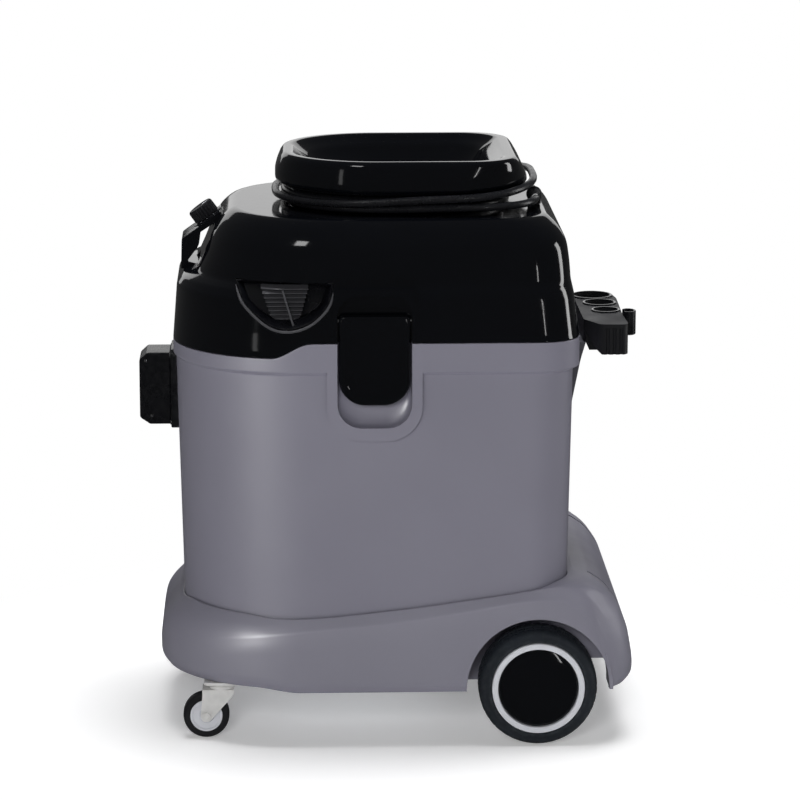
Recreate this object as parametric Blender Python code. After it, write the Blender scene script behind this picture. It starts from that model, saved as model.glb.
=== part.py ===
"""Spot extractor: wet tank on a wheeled trolley, lift-off motor head, cord wound under the top ring.

Metres, +Z up. The hose inlet faces -X, the tool holder is on the +X end, the floor is Z = 0.
"""
import math

import bmesh
import bpy
from mathutils import Matrix, Vector

MM = 0.001
GAP = 0.3
SHIFT_X = 3.6  # brings the box of the whole machine over the origin

# plan of the body: front end is a wide elliptic nose, rear corners are tight
REAR_STEPS = 4
NOSE_STEPS = 9
SIDE_STATIONS = (120.0, 60.0, 0.0, -60.0, -88.0)
NOSE_DEPTH = 136.0
NOSE_REACH = 130.0
REAR_RADIUS = 44.0

# tank
TANK_WALL = 3.5
TANK_RIM = (-236.0, 199.0, 190.0)
TANK_UNDER_RIM = (-233.0, 192.5, 186.0)
TANK_FOOT = (-227.0, 188.5, 181.5)
RIM_BAND_Z = 411.0
SEAM_Z = 443.0
SEAM_DIP = 16.0
SEAM_GAP = 0.9
JUNCTION = ((-260.0, 138.5), (-229.0, 139.0), (-215.0, 143.5), (-165.0, 143.0), (-122.0, 140.0), (-90.0, 141.0), (6.0, 150.0),
            (81.0, 160.0), (157.0, 172.0), (178.0, 177.5), (260.0, 186.0))
SEAT_DEPTH = 10.0

# latch pockets
LATCH_X = -20.5
BOSS_HALF = 50.5
BOSS_FLOOR = 337.0
POCKET_HALF = 39.5
POCKET_FLOOR = 351.0
POCKET_Y = 174.5
BOSS_BACK_Y = 169.0
LATCH_HALF = 37.8
LATCH_CORNER = 28.0
LATCH_BOTTOM = 375.0
LATCH_TOP = 471.5
LATCH_PIN_Z = 466.0
LATCH_PIN_Y = 183.0

# trolley
CREASE = ((-260.0, 108.0), (-232.0, 108.5), (-200.0, 115.0), (-117.0, 126.5), (6.0, 138.5), (81.0, 150.0),
          (156.0, 161.0), (177.0, 160.5), (199.0, 148.0), (217.0, 127.0), (226.0, 101.0), (234.0, 93.0), (262.0, 93.0))
SKIRT = ((-260.0, 64.5), (-150.0, 64.5), (-100.0, 59.5), (260.0, 59.5))
BASE_WALL = 4.0
DECK = 5.0

# wheels
WHEEL_X = 155.0
WHEEL_Z = 64.0
TYRE_R = 64.0
TYRE_IN_R = 50.0
TYRE_Y0 = 153.0
TYRE_Y1 = 195.0
ARCH_R = 77.0
ARCH_Y = 148.0
WELL_OPEN_TOP = 84.0
AXLE_R = 6.0
RING_R = 43.4

# casters
CASTER_X = -186.0
CASTER_Y = 146.0
CASTER_TRAIL = 17.0
CASTER_R = 25.0
CASTER_HALF_W = 9.0

# head
HEAD_WALL = 3.0
HEAD_TOP = 567.0
NECK = (-78.0, 92.0, 76.0)
NECK_ENDS = (70.0, 64.0, 64.0, 56.0)
WINDING = 41.0
NECK_TOP = 588.0
RING_TOP = 624.0
VENT_X = -115.0

# cord
CORD_D = 8.3


def clear_scene():
    for obj in list(bpy.data.objects):
        bpy.data.objects.remove(obj, do_unlink=True)


def at(table, x):
    """Linear reading of a table of (x, z) pairs."""
    if x <= table[0][0]:
        return table[0][1]
    for (x0, z0), (x1, z1) in zip(table, table[1:]):
        if x <= x1:
            return z0 + (z1 - z0) * (x - x0) / (x1 - x0)
    return table[-1][1]


def seam(x):
    """Height of the joint between tank and head; it dips round the nose."""
    t = min(1.0, max(0.0, (-88.0 - x) / 42.0))
    return SEAM_Z - SEAM_DIP * t * t * (3 - 2 * t)


def shifted(base, dz, scale=1.0):
    return lambda x: base(x) * scale + dz


def level(z):
    return lambda x: z


def junction(x):
    return at(JUNCTION, x)


def crease(x):
    return at(CREASE, x)


def skirt(x):
    return at(SKIRT, x)


def between(t):
    """Height part of the way up the sloping band from the crease to the junction."""
    return lambda x: crease(x) + t * (junction(x) - crease(x))


def plan(x0, x1, half, z, nose=None, reach=None, rear=None, broad=None):
    """Closed loop round the body, mirror points paired end to end; z is a function of x."""
    nose = NOSE_DEPTH if nose is None else nose
    reach = NOSE_REACH if reach is None else reach
    rear = REAR_RADIUS if rear is None else rear
    broad = rear if broad is None else broad
    side = []
    for k in range(REAR_STEPS + 1):
        a = math.radians(90 * k / REAR_STEPS)
        side.append((x1 - rear + rear * math.cos(a), half - broad + broad * math.sin(a)))
    low, high = x0 + nose, x1 - rear
    for k, x in enumerate(SIDE_STATIONS):
        t = (k + 1) / (len(SIDE_STATIONS) + 1)
        x = x if low + 2 < x < high - 2 else high + (low - high) * t
        side.append((x, half))
    side[REAR_STEPS + 1:] = sorted(side[REAR_STEPS + 1:], reverse=True)
    for k in range(NOSE_STEPS + 1):
        a = math.radians(90 * k / NOSE_STEPS)
        side.append((low - nose * math.sin(a), half - reach + reach * math.cos(a)))
    near = [(x, -y, z(x)) for x, y in side]
    far = [(x, y, z(x)) for x, y in reversed(side)]
    return near + far


def mesh_object(name, bm):
    bmesh.ops.recalc_face_normals(bm, faces=bm.faces)
    mesh = bpy.data.meshes.new(name)
    bm.to_mesh(mesh)
    bm.free()
    obj = bpy.data.objects.new(name, mesh)
    bpy.context.scene.collection.objects.link(obj)
    return obj


def loft(name, loops, ring=False):
    """Solid through a chain of loops; the ends are closed by strips across the width, or meet as a ring."""
    bm = bmesh.new()
    rows = [[bm.verts.new(Vector(p) * MM) for p in loop] for loop in loops]
    n = len(rows[0])
    for a, b in zip(rows, rows[1:]):
        for i in range(n):
            j = (i + 1) % n
            bm.faces.new((a[i], a[j], b[j], b[i]))
    if ring:
        for i in range(n):
            j = (i + 1) % n
            bm.faces.new((rows[-1][i], rows[-1][j], rows[0][j], rows[0][i]))
        return mesh_object(name, bm)
    for row in (rows[0], rows[-1]):
        for i in range(n // 2 - 1):
            bm.faces.new((row[i], row[i + 1], row[n - 2 - i], row[n - 1 - i]))
    return mesh_object(name, bm)


def prism(name, outline, lo, hi, axis="Y"):
    """Straight extrusion of a closed outline along one axis."""
    bm = bmesh.new()
    ends = []
    for d in (lo, hi):
        if axis == "Y":
            ends.append([bm.verts.new((u * MM, d * MM, v * MM)) for u, v in outline])
        elif axis == "X":
            ends.append([bm.verts.new((d * MM, u * MM, v * MM)) for u, v in outline])
        else:
            ends.append([bm.verts.new((u * MM, v * MM, d * MM)) for u, v in outline])
    a, b = ends
    n = len(a)
    for i in range(n):
        j = (i + 1) % n
        bm.faces.new((a[i], a[j], b[j], b[i]))
    bm.faces.new(a)
    bm.faces.new(b)
    return mesh_object(name, bm)


def box(name, x, y, z):
    outline = [(x[0], z[0]), (x[1], z[0]), (x[1], z[1]), (x[0], z[1])]
    return prism(name, outline, y[0], y[1])


def circle(u, v, r, n, start=0.0):
    points = []
    for k in range(n):
        a = math.radians(start) + 2 * math.pi * k / n
        points.append((u + r * math.cos(a), v + r * math.sin(a)))
    return points


def rounded(u0, u1, v0, v1, r, n=3):
    """Rectangle with rounded corners."""
    points = []
    corners = ((u1 - r, v0 + r, -90), (u1 - r, v1 - r, 0), (u0 + r, v1 - r, 90), (u0 + r, v0 + r, 180))
    for cu, cv, a0 in corners:
        for k in range(n + 1):
            a = math.radians(a0 + 90 * k / n)
            points.append((cu + r * math.cos(a), cv + r * math.sin(a)))
    return points


def turned(name, profile, centre, axis="Z", steps=24):
    """Solid of revolution; profile is a closed list of (radius, along)."""
    bm = bmesh.new()
    rings = []
    for r, d in profile:
        if r < 1e-6:
            ring = [(0.0, 0.0, d)]
        else:
            ring = [(r * math.cos(2 * math.pi * k / steps), r * math.sin(2 * math.pi * k / steps), d)
                    for k in range(steps)]
        rings.append([bm.verts.new(Vector(p) * MM) for p in ring])
    count = len(rings)
    for i in range(count):
        a, b = rings[i], rings[(i + 1) % count]
        for k in range(steps):
            j = (k + 1) % steps
            if len(a) == 1 and len(b) == 1:
                continue
            if len(a) == 1:
                bm.faces.new((a[0], b[j], b[k]))
            elif len(b) == 1:
                bm.faces.new((a[k], a[j], b[0]))
            else:
                bm.faces.new((a[k], a[j], b[j], b[k]))
    obj = mesh_object(name, bm)
    turn = {"Z": Matrix(), "Y": Matrix.Rotation(math.radians(90), 4, "X"),
            "X": Matrix.Rotation(math.radians(90), 4, "Y")}[axis] if isinstance(axis, str) else axis
    obj.data.transform(Matrix.Translation(Vector(centre) * MM) @ turn)
    return obj


def material(obj, name, colour, roughness, metallic=0.0):
    mat = bpy.data.materials.new(name)
    mat.use_nodes = True
    shader = mat.node_tree.nodes["Principled BSDF"]
    shader.inputs["Base Color"].default_value = (*colour, 1.0)
    shader.inputs["Roughness"].default_value = roughness
    shader.inputs["Metallic"].default_value = metallic
    mat.diffuse_color = (*colour, 1.0)
    obj.data.materials.clear()
    obj.data.materials.append(mat)
    return obj


def combine(obj, other, how):
    """Boolean with a helper that is deleted once it has been used."""
    mod = obj.modifiers.new(how.lower(), "BOOLEAN")
    mod.operation = how
    mod.solver = "EXACT"
    mod.object = other
    graph = bpy.context.evaluated_depsgraph_get()
    mesh = bpy.data.meshes.new_from_object(obj.evaluated_get(graph))
    obj.modifiers.clear()
    old = obj.data
    obj.data = mesh
    bpy.data.meshes.remove(old)
    bpy.data.objects.remove(other, do_unlink=True)
    return obj


def cut(obj, *cutters):
    for cutter in cutters:
        combine(obj, cutter, "DIFFERENCE")
    return obj


def join(obj, *others):
    for other in others:
        combine(obj, other, "UNION")
    return obj


def smooth(obj, angle=32.0):
    """Round faces shaded smooth, edges sharper than the angle kept crisp."""
    mesh = obj.data
    bm = bmesh.new()
    bm.from_mesh(mesh)
    for face in bm.faces:
        face.smooth = True
    for edge in bm.edges:
        if len(edge.link_faces) == 2 and edge.calc_face_angle(0.0) > math.radians(angle):
            edge.smooth = False
    bm.to_mesh(mesh)
    bm.free()
    return obj


def origin(obj, point):
    """Moves the object's origin to a point on its joint axis; the shape stays where it is."""
    shift = Vector(point) * MM
    obj.data.transform(Matrix.Translation(-shift))
    obj.location = shift
    return obj


def finish(obj, name, colour, roughness, metallic=0.0, pivot=None):
    obj.name = name
    obj.data.name = name
    material(obj, name, colour, roughness, metallic)
    smooth(obj)
    if pivot:
        origin(obj, pivot)
    return obj


GREY = (0.19, 0.19, 0.24)
GREY_BASE = (0.22, 0.22, 0.255)
BLACK = (0.006, 0.007, 0.009)
DARK = (0.02, 0.02, 0.022)
ZINC = (0.62, 0.61, 0.6)


# ---------------------------------------------------------------- tank

def pocket_outline(half, floor, top, radius, n=4):
    points = []
    for k in range(n + 1):
        a = math.radians(180 + 90 * k / n)
        points.append((LATCH_X - half + radius + radius * math.cos(a), floor + radius + radius * math.sin(a)))
    for k in range(n + 1):
        a = math.radians(270 + 90 * k / n)
        points.append((LATCH_X + half - radius + radius * math.cos(a), floor + radius + radius * math.sin(a)))
    return points + [(LATCH_X + half, top), (LATCH_X - half, top)]


def tank_floor(x):
    return junction(x) - SEAT_DEPTH


def recovery_tank():
    w = TANK_WALL
    rim, under, foot = TANK_RIM, TANK_UNDER_RIM, TANK_FOOT

    def inset(p, d):
        return (p[0] + d, p[1] - d, p[2] - d)

    outer = [plan(*inset(foot, 6), tank_floor), plan(*foot, shifted(tank_floor, 6)),
             plan(*under, level(RIM_BAND_Z - 3)), plan(*rim, level(RIM_BAND_Z)),
             plan(*rim, shifted(seam, -SEAM_GAP))]
    inner = [plan(*inset(rim, w), shifted(seam, -SEAM_GAP)), plan(*inset(rim, w), level(RIM_BAND_Z + 5)),
             plan(*inset(under, w), level(RIM_BAND_Z + 1)), plan(*inset(foot, w), shifted(tank_floor, 12)),
             plan(*inset(foot, w + 8), shifted(tank_floor, w))]
    obj = loft("recovery_tank", outer + inner)
    for s in (-1, 1):
        y0, y1 = sorted((s * BOSS_BACK_Y, s * 190.0))
        obj = join(obj, prism("boss", pocket_outline(BOSS_HALF, BOSS_FLOOR, SEAM_Z - SEAM_GAP, 38), y0, y1))
    for s in (-1, 1):
        y0, y1 = sorted((s * POCKET_Y, s * 200.0))
        obj = cut(obj, prism("pocket", pocket_outline(POCKET_HALF, POCKET_FLOOR, SEAM_Z + 20, 26), y0, y1))
    bore = prism("bore", circle(0, 361, 19.0, 24), -250, -215, "X")
    obj = cut(obj, bore)
    return finish(obj, "recovery_tank", GREY, 0.42)


def tank_gasket():
    w = TANK_WALL
    rim = TANK_RIM
    a = (rim[0] + w + 1.0, rim[1] - w - 1.0, rim[2] - w - 1.0)
    b = (rim[0] + w + 5.0, rim[1] - w - 5.0, rim[2] - w - 5.0)
    top, low = 418.7, 416.4
    loops = [plan(*b, level(low)), plan(*a, level(low)), plan(*a, level(top)), plan(*b, level(top))]
    obj = loft("tank_gasket", loops, ring=True)
    for s in (-1, 1):
        y0, y1 = sorted((s * (BOSS_BACK_Y - 1.5), s * 200.0))
        obj = cut(obj, box("c", (LATCH_X - BOSS_HALF - 1, LATCH_X + BOSS_HALF + 1), (y0, y1), (400, 430)))
    for s in (-1, 1):
        y0, y1 = sorted((s * (BOSS_BACK_Y - 1.5), s * (BOSS_BACK_Y - 5.5)))
        obj = join(obj, box("j", (LATCH_X - BOSS_HALF - 5, LATCH_X + BOSS_HALF + 5), (y0, y1), (low, top)),
                   box("k", (LATCH_X - BOSS_HALF - 5, LATCH_X - BOSS_HALF - 1),
                       tuple(sorted((s * (BOSS_BACK_Y - 4), s * 184.8))), (low, top)),
                   box("l", (LATCH_X + BOSS_HALF + 1, LATCH_X + BOSS_HALF + 5),
                       tuple(sorted((s * (BOSS_BACK_Y - 4), s * 184.8))), (low, top)))
    return finish(obj, "tank_gasket", DARK, 0.8)


def inlet_flange():
    obj = prism("inlet_flange", rounded(-33, 33, 317, 405, 6), -240.5, -225.0, "X")
    back = [(-234.0, 406.5), (-231.0, 316), (-200, 316), (-200, 406.5)]
    obj = cut(obj, prism("slope", back, -40, 40))
    obj = cut(obj, prism("b", circle(0, 361, 19.0, 24), -250, -225, "X"))
    return finish(obj, "inlet_flange", BLACK, 0.35)


def inlet_housing():
    side = [(-240.8, 320.5), (-264.0, 320.5), (-275.0, 328.0), (-275.0, 393.0), (-266.5, 400.7), (-240.8, 400.7)]
    obj = prism("inlet_housing", side, -24, 24)
    obj = cut(obj, prism("b", circle(0, 361, 19.0, 24), -268, -235, "X"),
              prism("c", circle(0, 361, 22.3, 24), -285, -262, "X"))
    return finish(obj, "inlet_housing", BLACK, 0.3)


def hose_socket():
    profile = [(18.5, 0), (22.0, 0), (22.0, 11.5), (18.5, 11.5)]
    obj = turned("hose_socket", profile, (-274.3, 0, 361), "X", 24)
    return finish(obj, "hose_socket", DARK, 0.45)


def inlet_deflector():
    outer = [(-231.5, 382), (-231.5, 338), (-205, 318), (-186, 318), (-180, 326), (-190, 372), (-204, 385)]
    inner = [(-240, 379), (-240, 341), (-206, 310), (-189, 310), (-184, 328), (-193, 370), (-205, 382)]
    obj = prism("inlet_deflector", outer, -24, 24)
    obj = cut(obj, prism("i", inner, -21, 21))
    ear = prism("e", rounded(-27, 27, 320, 392, 4), -225.9, -222.9, "X")
    obj = join(obj, ear)
    obj = cut(obj, prism("b", circle(0, 361, 19.0, 24), -232, -220, "X"),
              box("t", (-240, -225.9), (-40, 40), (300, 400)))
    return finish(obj, "inlet_deflector", DARK, 0.5)


def solution_coupling():
    profile = [(0, 0), (9, 0), (9, 3), (6.5, 3), (6.5, 9), (8.5, 9), (8.5, 17), (5, 17), (5, 20), (3, 20), (3, 8), (0, 8)]
    obj = turned("solution_coupling", [(r, -d) for r, d in profile], (-241.0, 24.9 + 9.5, 340), "X", 12)
    return finish(obj, "solution_coupling", (0.55, 0.4, 0.16), 0.35, 1.0)


def holder_bracket():
    side = [(199.9, 424), (199.9, 410.4), (193.4, 406.9), (192.3, 342), (194.2, 350), (205.0, 405), (210.5, 424)]
    obj = prism("holder_bracket", side, -96, 56)
    return finish(obj, "holder_bracket", (0.10, 0.10, 0.125), 0.45)


HOLES = ((229.0, 46.0, 20.0), (233.5, 1.5, 15.8), (236.5, -42.0, 13.0))


def tool_holder():
    outline = [(208, -92), (224, -124), (250, -124), (254, -118), (252.5, -70), (255, 30), (251, 60),
               (236, 73), (220, 73), (208, 60)]
    obj = prism("tool_holder", outline, 415.5, 450.0, "Z")
    cutters = [box("f", (196, 214), (-130, 80), (400, 424.4))]
    corner = [(200, 440), (208, 440), (213, 431), (219, 421), (226, 415), (200, 410)]
    cutters.append(prism("corner", corner, -140, -97))
    for k, (x, y, r) in enumerate(HOLES):
        cutters.append(prism(f"h{k}", circle(x, y, r, 24), 400, 460, "Z"))
    obj = cut(obj, *cutters)
    return finish(obj, "tool_holder", BLACK, 0.25)


def holder_clip():
    points = []
    for k in range(13):
        a = math.radians(-140 + 280 * k / 12)
        points.append((259.6 + 8.2 * math.cos(a), -60 + 11 * math.sin(a)))
    for k in range(13):
        a = math.radians(140 - 280 * k / 12)
        points.append((259.6 + 5.8 * math.cos(a), -60 + 8 * math.sin(a)))
    obj = prism("holder_clip", points, 426.0, 452.0, "Z")
    return finish(obj, "holder_clip", BLACK, 0.35)


# ---------------------------------------------------------------- trolley

def trolley_base():
    outer = [plan(-247.0, 252.5, 188.0, skirt, 150, 134, 50), plan(-253.0, 259.5, 194.0, shifted(skirt, 9), 152, 136, 54),
             plan(-253.5, 260.5, 195.0, shifted(crease, -14), 152, 136, 54),
             plan(-251.0, 259.0, 193.0, crease, 150, 134, 52),
             plan(-249.0, 255.0, 190.95, between(0.25), 148, 134, 51),
             plan(-243.5, 246.0, 188.65, between(0.53), 145, 133, 50),
             plan(-236.0, 231.0, 186.7, between(0.77), 142, 132, 48),
             plan(-232.5, 213.0, 185.9, between(0.87), 140, 131, 47),
             plan(-229.0, 196.0, 184.8, junction, 138, 131, 46)]
    obj = loft("trolley_base", outer)
    deck = shifted(tank_floor, -GAP - DECK)
    hollow = [plan(-242.0, 247.0, 184.0, shifted(skirt, -4), 148, 132, 46),
              plan(-249.0, 256.0, 190.0, shifted(skirt, 12), 148, 132, 50),
              plan(-248.5, 254.0, 189.5, shifted(crease, -10), 148, 131, 50),
              plan(-237.0, 238.0, 184.0, shifted(between(0.5), -9), 142, 129, 46),
              plan(-225.0, 208.0, 178.0, deck, 134, 126, 42)]
    obj = cut(obj, loft("hollow", hollow))
    foot = TANK_FOOT
    g = 0.6
    seat = [plan(foot[0] + 6 - g, foot[1] - 6 + g, foot[2] - 6 + g, shifted(tank_floor, -GAP)),
            plan(foot[0] - g, foot[1] + g, foot[2] + g, shifted(tank_floor, 6)),
            plan(foot[0] - 3.5, foot[1] + 3.5, foot[2] + 2.6, shifted(tank_floor, 60))]
    obj = cut(obj, loft("seat", seat))
    for s in (-1, 1):
        y0, y1 = sorted((s * (ARCH_Y - 4), s * 189.0))
        arch = [(WHEEL_X + (ARCH_R + 4) * math.cos(math.radians(a)), WHEEL_Z + (ARCH_R + 4) * math.sin(math.radians(a)))
                for a in range(0, 181, 15)]
        obj = join(obj, prism("liner", [(WHEEL_X + ARCH_R + 4, 61)] + arch + [(WHEEL_X - ARCH_R - 4, 61)], y0, y1))
    for s in (-1, 1):
        y0, y1 = sorted((s * ARCH_Y, s * 210.0))
        arch = [(WHEEL_X + ARCH_R * math.cos(math.radians(a)), WHEEL_Z + ARCH_R * math.sin(math.radians(a)))
                for a in range(0, 181, 12)]
        obj = cut(obj, prism("arch", [(WHEEL_X + ARCH_R, 40)] + arch + [(WHEEL_X - ARCH_R, 40)], y0, y1))
        y0, y1 = sorted((s * (ARCH_Y - 8), s * (ARCH_Y + 1)))
        obj = cut(obj, box("way", (WHEEL_X + 30, WHEEL_X + ARCH_R + 8), (y0, y1), (50, WELL_OPEN_TOP)))
    obj = cut(obj, prism("axle", circle(WHEEL_X, WHEEL_Z, AXLE_R + GAP, 16), -160, 160))
    for s in (-1, 1):
        pad = prism("pad", circle(CASTER_X, s * CASTER_Y, 13, 16), 64.0, 121.0, "Z")
        obj = join(obj, pad)
    for s in (-1, 1):
        slot = [(212, 190), (212, 169.5), (228, 159), (241, 141), (249, 127), (262, 127), (262, 190)]
        obj = cut(obj, prism("slot", slot, s * 125 - 2.5, s * 125 + 2.5))
    return finish(obj, "trolley_base", GREY_BASE, 0.42)


def rear_axle():
    obj = turned("rear_axle", [(0, -178), (AXLE_R - 1, -178), (AXLE_R, -177), (AXLE_R, 177), (AXLE_R - 1, 178), (0, 178)],
                 (WHEEL_X, 0, WHEEL_Z), "Y", 16)
    return finish(obj, "rear_axle", ZINC, 0.3, 1.0)


def side_y(s, y):
    return s * y


def wheel(side, s):
    """Rear wheel: tyre, rim with its light ring, domed hub cap and push-on axle washer."""
    c = (WHEEL_X, 0, WHEEL_Z)

    def profile(points):
        return [(r, -s * y) for r, y in points]

    tyre = [(TYRE_IN_R + 0.3, TYRE_Y0 + 3), (TYRE_R - 5, TYRE_Y0), (TYRE_R - 1, TYRE_Y0 + 4), (TYRE_R, TYRE_Y0 + 12),
            (TYRE_R, TYRE_Y1 - 12), (TYRE_R - 1.5, TYRE_Y1 - 5), (TYRE_R - 6, TYRE_Y1 - 1), (TYRE_IN_R + 3, TYRE_Y1),
            (TYRE_IN_R + 0.3, TYRE_Y1 - 3)]
    obj = turned("tyre", profile(tyre), c, "Y", 28)
    finish(obj, "rear_tyre_" + side, (0.014, 0.018, 0.024), 0.7, pivot=(WHEEL_X, s * 174, WHEEL_Z))
    rim = [(AXLE_R + GAP, TYRE_Y0 + 2), (13, TYRE_Y0 + 2), (14, TYRE_Y0 + 14), (45, TYRE_Y0 + 14), (46, TYRE_Y0 + 5),
           (TYRE_IN_R, TYRE_Y0 + 5), (TYRE_IN_R, TYRE_Y1 - 1), (TYRE_IN_R - 1.5, TYRE_Y1 + 0.5), (RING_R, TYRE_Y1),
           (RING_R, TYRE_Y1 - 13), (12, TYRE_Y1 - 20), (AXLE_R + GAP, TYRE_Y1 - 20)]
    obj = turned("rim", profile(rim), c, "Y", 28)
    finish(obj, "rear_rim_" + side, (0.55, 0.56, 0.6), 0.45, pivot=(WHEEL_X, s * 174, WHEEL_Z))
    cap = [(0, TYRE_Y1 - 11), (RING_R - 0.3, TYRE_Y1 - 11), (RING_R - 0.3, TYRE_Y1 - 4), (34, TYRE_Y1 - 1.2),
           (20, TYRE_Y1 + 1.0), (0, TYRE_Y1 + 1.9)]
    obj = turned("cap", profile(cap), c, "Y", 28)
    finish(obj, "hub_cap_" + side, BLACK, 0.15, pivot=(WHEEL_X, s * 174, WHEEL_Z))
    lock = [(AXLE_R + 0.05, TYRE_Y1 - 19.4), (10, TYRE_Y1 - 19.4), (10, TYRE_Y1 - 17.6), (AXLE_R + 0.05, TYRE_Y1 - 17.6)]
    obj = turned("lock", profile(lock), c, "Y", 16)
    finish(obj, "axle_washer_" + side, ZINC, 0.3, 1.0)


def caster(side, s):
    x, y = CASTER_X, s * CASTER_Y
    ax = x - CASTER_TRAIL
    plate = prism("plate", rounded(x - 19, x + 19, y - 15, y + 15, 5), 60.6, 63.6, "Z")
    plate = cut(plate, prism("h", circle(x, y, 4.2, 12), 50, 70, "Z"))
    finish(plate, "caster_plate_" + side, ZINC, 0.35, 1.0)
    fork = turned("race", [(0, 54.5), (13, 54.5), (14, 56), (14, 58.5), (11.5, 60.2), (3.8, 60.2), (3.8, 62.8), (0, 62.8)], (x, y, 0), "Z", 20)
    leg = [(ax - 5.5, 23), (ax - 3, 19.5), (ax + 3, 19.5), (ax + 6.5, 23), (x + 13, 50), (x + 13, 55.3), (x - 21, 55.3), (x - 21, 50)]
    body = prism("leg", leg, y - 12.6, y + 12.6)
    body = cut(body, prism("gap", [(ax - 40, 10), (x + 30, 10), (x + 30, 52.8), (ax - 40, 52.8)], y - 10.6, y + 10.6))
    fork = join(fork, body)
    fork = cut(fork, prism("hole", circle(ax, 25.0, 3.1, 12), y - 20, y + 20))
    finish(fork, "caster_fork_" + side, ZINC, 0.35, 1.0, pivot=(x, y, 56))
    w = CASTER_HALF_W
    wheel_profile = [(3.2, -w - 0.8), (7, -w - 0.8), (9, -w + 1), (18, -w), (CASTER_R - 2.5, -w), (CASTER_R, -w + 3.5),
                     (CASTER_R, w - 3.5), (CASTER_R - 2.5, w), (18, w), (9, w - 1), (7, w + 0.8), (3.2, w + 0.8)]
    obj = turned("wheel", [(r, -d) for r, d in wheel_profile], (ax, y, 25.0), "Y", 24)
    finish(obj, "caster_wheel_" + side, DARK, 0.6, pivot=(ax, y, 25))
    obj = turned("pin", [(0, -15.5), (5, -15.5), (5, -12.9), (2.8, -12.9), (2.8, 12.9), (5, 12.9), (5, 15.5), (0, 15.5)],
                 (ax, y, 25.0), "Y", 14)
    finish(obj, "caster_axle_" + side, ZINC, 0.3, 1.0)


def solution_tank():
    obj = prism("solution_tank", rounded(-135, 55, -120, 120, 20, 4), 68, 122, "Z")
    obj = cut(obj, prism("in", rounded(-132, 52, -117, 117, 17, 4), 71, 119, "Z"),
              prism("neck", circle(-100, 80, 14, 16), 110, 130, "Z"))
    return finish(obj, "solution_tank", (0.6, 0.62, 0.65), 0.4)


def solution_pump():
    obj = turned("solution_pump", [(0, -40), (19, -40), (21, -38), (21, 10), (25, 12), (25, 38), (0, 38)], (98, 0, 96), "Y", 20)
    foot = box("foot", (80, 116), (-30, 30), (115, 118.5))
    web = box("web", (88, 108), (-25, 25), (100, 116))
    obj = join(obj, web, foot)
    return finish(obj, "solution_pump", DARK, 0.4)


# ---------------------------------------------------------------- head

def head_cover():
    outer = [plan(*TANK_RIM, seam), plan(-235.5, 197.5, 187.5, shifted(seam, 7)),
             plan(-234.5, 196.0, 185.0, shifted(seam, 20)),
             plan(-231.5, 193.5, 182.5, level(486)), plan(-225.0, 191.5, 179.5, level(495)),
             plan(-209.0, 190.0, 175.0, level(502), 126, 122), plan(-201.0, 189.0, 171.0, level(520), 122, 119),
             plan(-192.0, 186.0, 164.0, level(543), 116, 114),
             plan(-182.0, 176.0, 153.0, level(558), 108, 106), plan(-170.0, 165.0, 142.0, level(HEAD_TOP), 100, 98),
             plan(*NECK, level(HEAD_TOP), *NECK_ENDS), plan(*NECK, level(NECK_TOP), *NECK_ENDS)]
    w = HEAD_WALL
    inner = [plan(NECK[0] + w, NECK[1] - w, NECK[2] - w, level(NECK_TOP), *NECK_ENDS),
             plan(NECK[0] + w, NECK[1] - w, NECK[2] - w, level(HEAD_TOP - w), *NECK_ENDS),
             plan(-168.0, 163.0, 140.0, level(HEAD_TOP - w), 99, 97),
             plan(-188.0, 182.0, 160.0, level(540), 114, 112),
             plan(-205.0, 186.0, 171.0, level(501), 124, 120), plan(-226.0, 189.0, 178.5, level(485)),
             plan(-231.0, 192.5, 181.5, shifted(seam, 19)), plan(-232.0, 194.0, 184.0, shifted(seam, 6)),
             plan(TANK_RIM[0] + 3.5, TANK_RIM[1] - 3.5, TANK_RIM[2] - 3.5, seam)]
    obj = loft("head_cover", outer + inner, ring=True)
    for s in (-1, 1):
        y0, y1 = sorted((s * BOSS_BACK_Y, s * 186.0))
        obj = join(obj, box("back", (LATCH_X - POCKET_HALF - 4, LATCH_X + POCKET_HALF + 4), (y0, y1), (SEAM_Z, 500)))
    for s in (-1, 1):
        y0, y1 = sorted((s * POCKET_Y, s * 200.0))
        outline = [(LATCH_X - POCKET_HALF, 430), (LATCH_X + POCKET_HALF, 430), (LATCH_X + POCKET_HALF, 478),
                   (LATCH_X + POCKET_HALF - 12, 492), (LATCH_X - POCKET_HALF + 12, 492), (LATCH_X - POCKET_HALF, 478)]
        obj = cut(obj, prism("pocket", outline, y0, y1))
        y0, y1 = sorted((s * 130.0, s * 200.0))
        obj = cut(obj, prism("vent", shield(0.0), y0, y1))
    obj = cut(obj, box("console_foot", (-240, -203.6), (-26.3, 26.3), (494.4, 507)),
              box("console_top", (-199, -183.8), (-26.3, 26.3), (540.5, 566)))
    return finish(obj, "head_cover", BLACK, 0.12)


def shield(inset):
    """Outline of the side vent: flat top, sides drawing in to a rounded foot."""
    points = [(-167, 505), (-160, 486), (-150, 474), (-138, 464), (-127, 458), (-116, 456), (-104, 457),
              (-90, 462), (-78, 471), (-68, 484), (-63, 505)]
    cx = VENT_X
    cz = 485.0
    k = 1 - inset / 28.0
    return [(cx + (x - cx) * (1 - inset / 52.0), cz + (z - cz) * k) for x, z in points]


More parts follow.
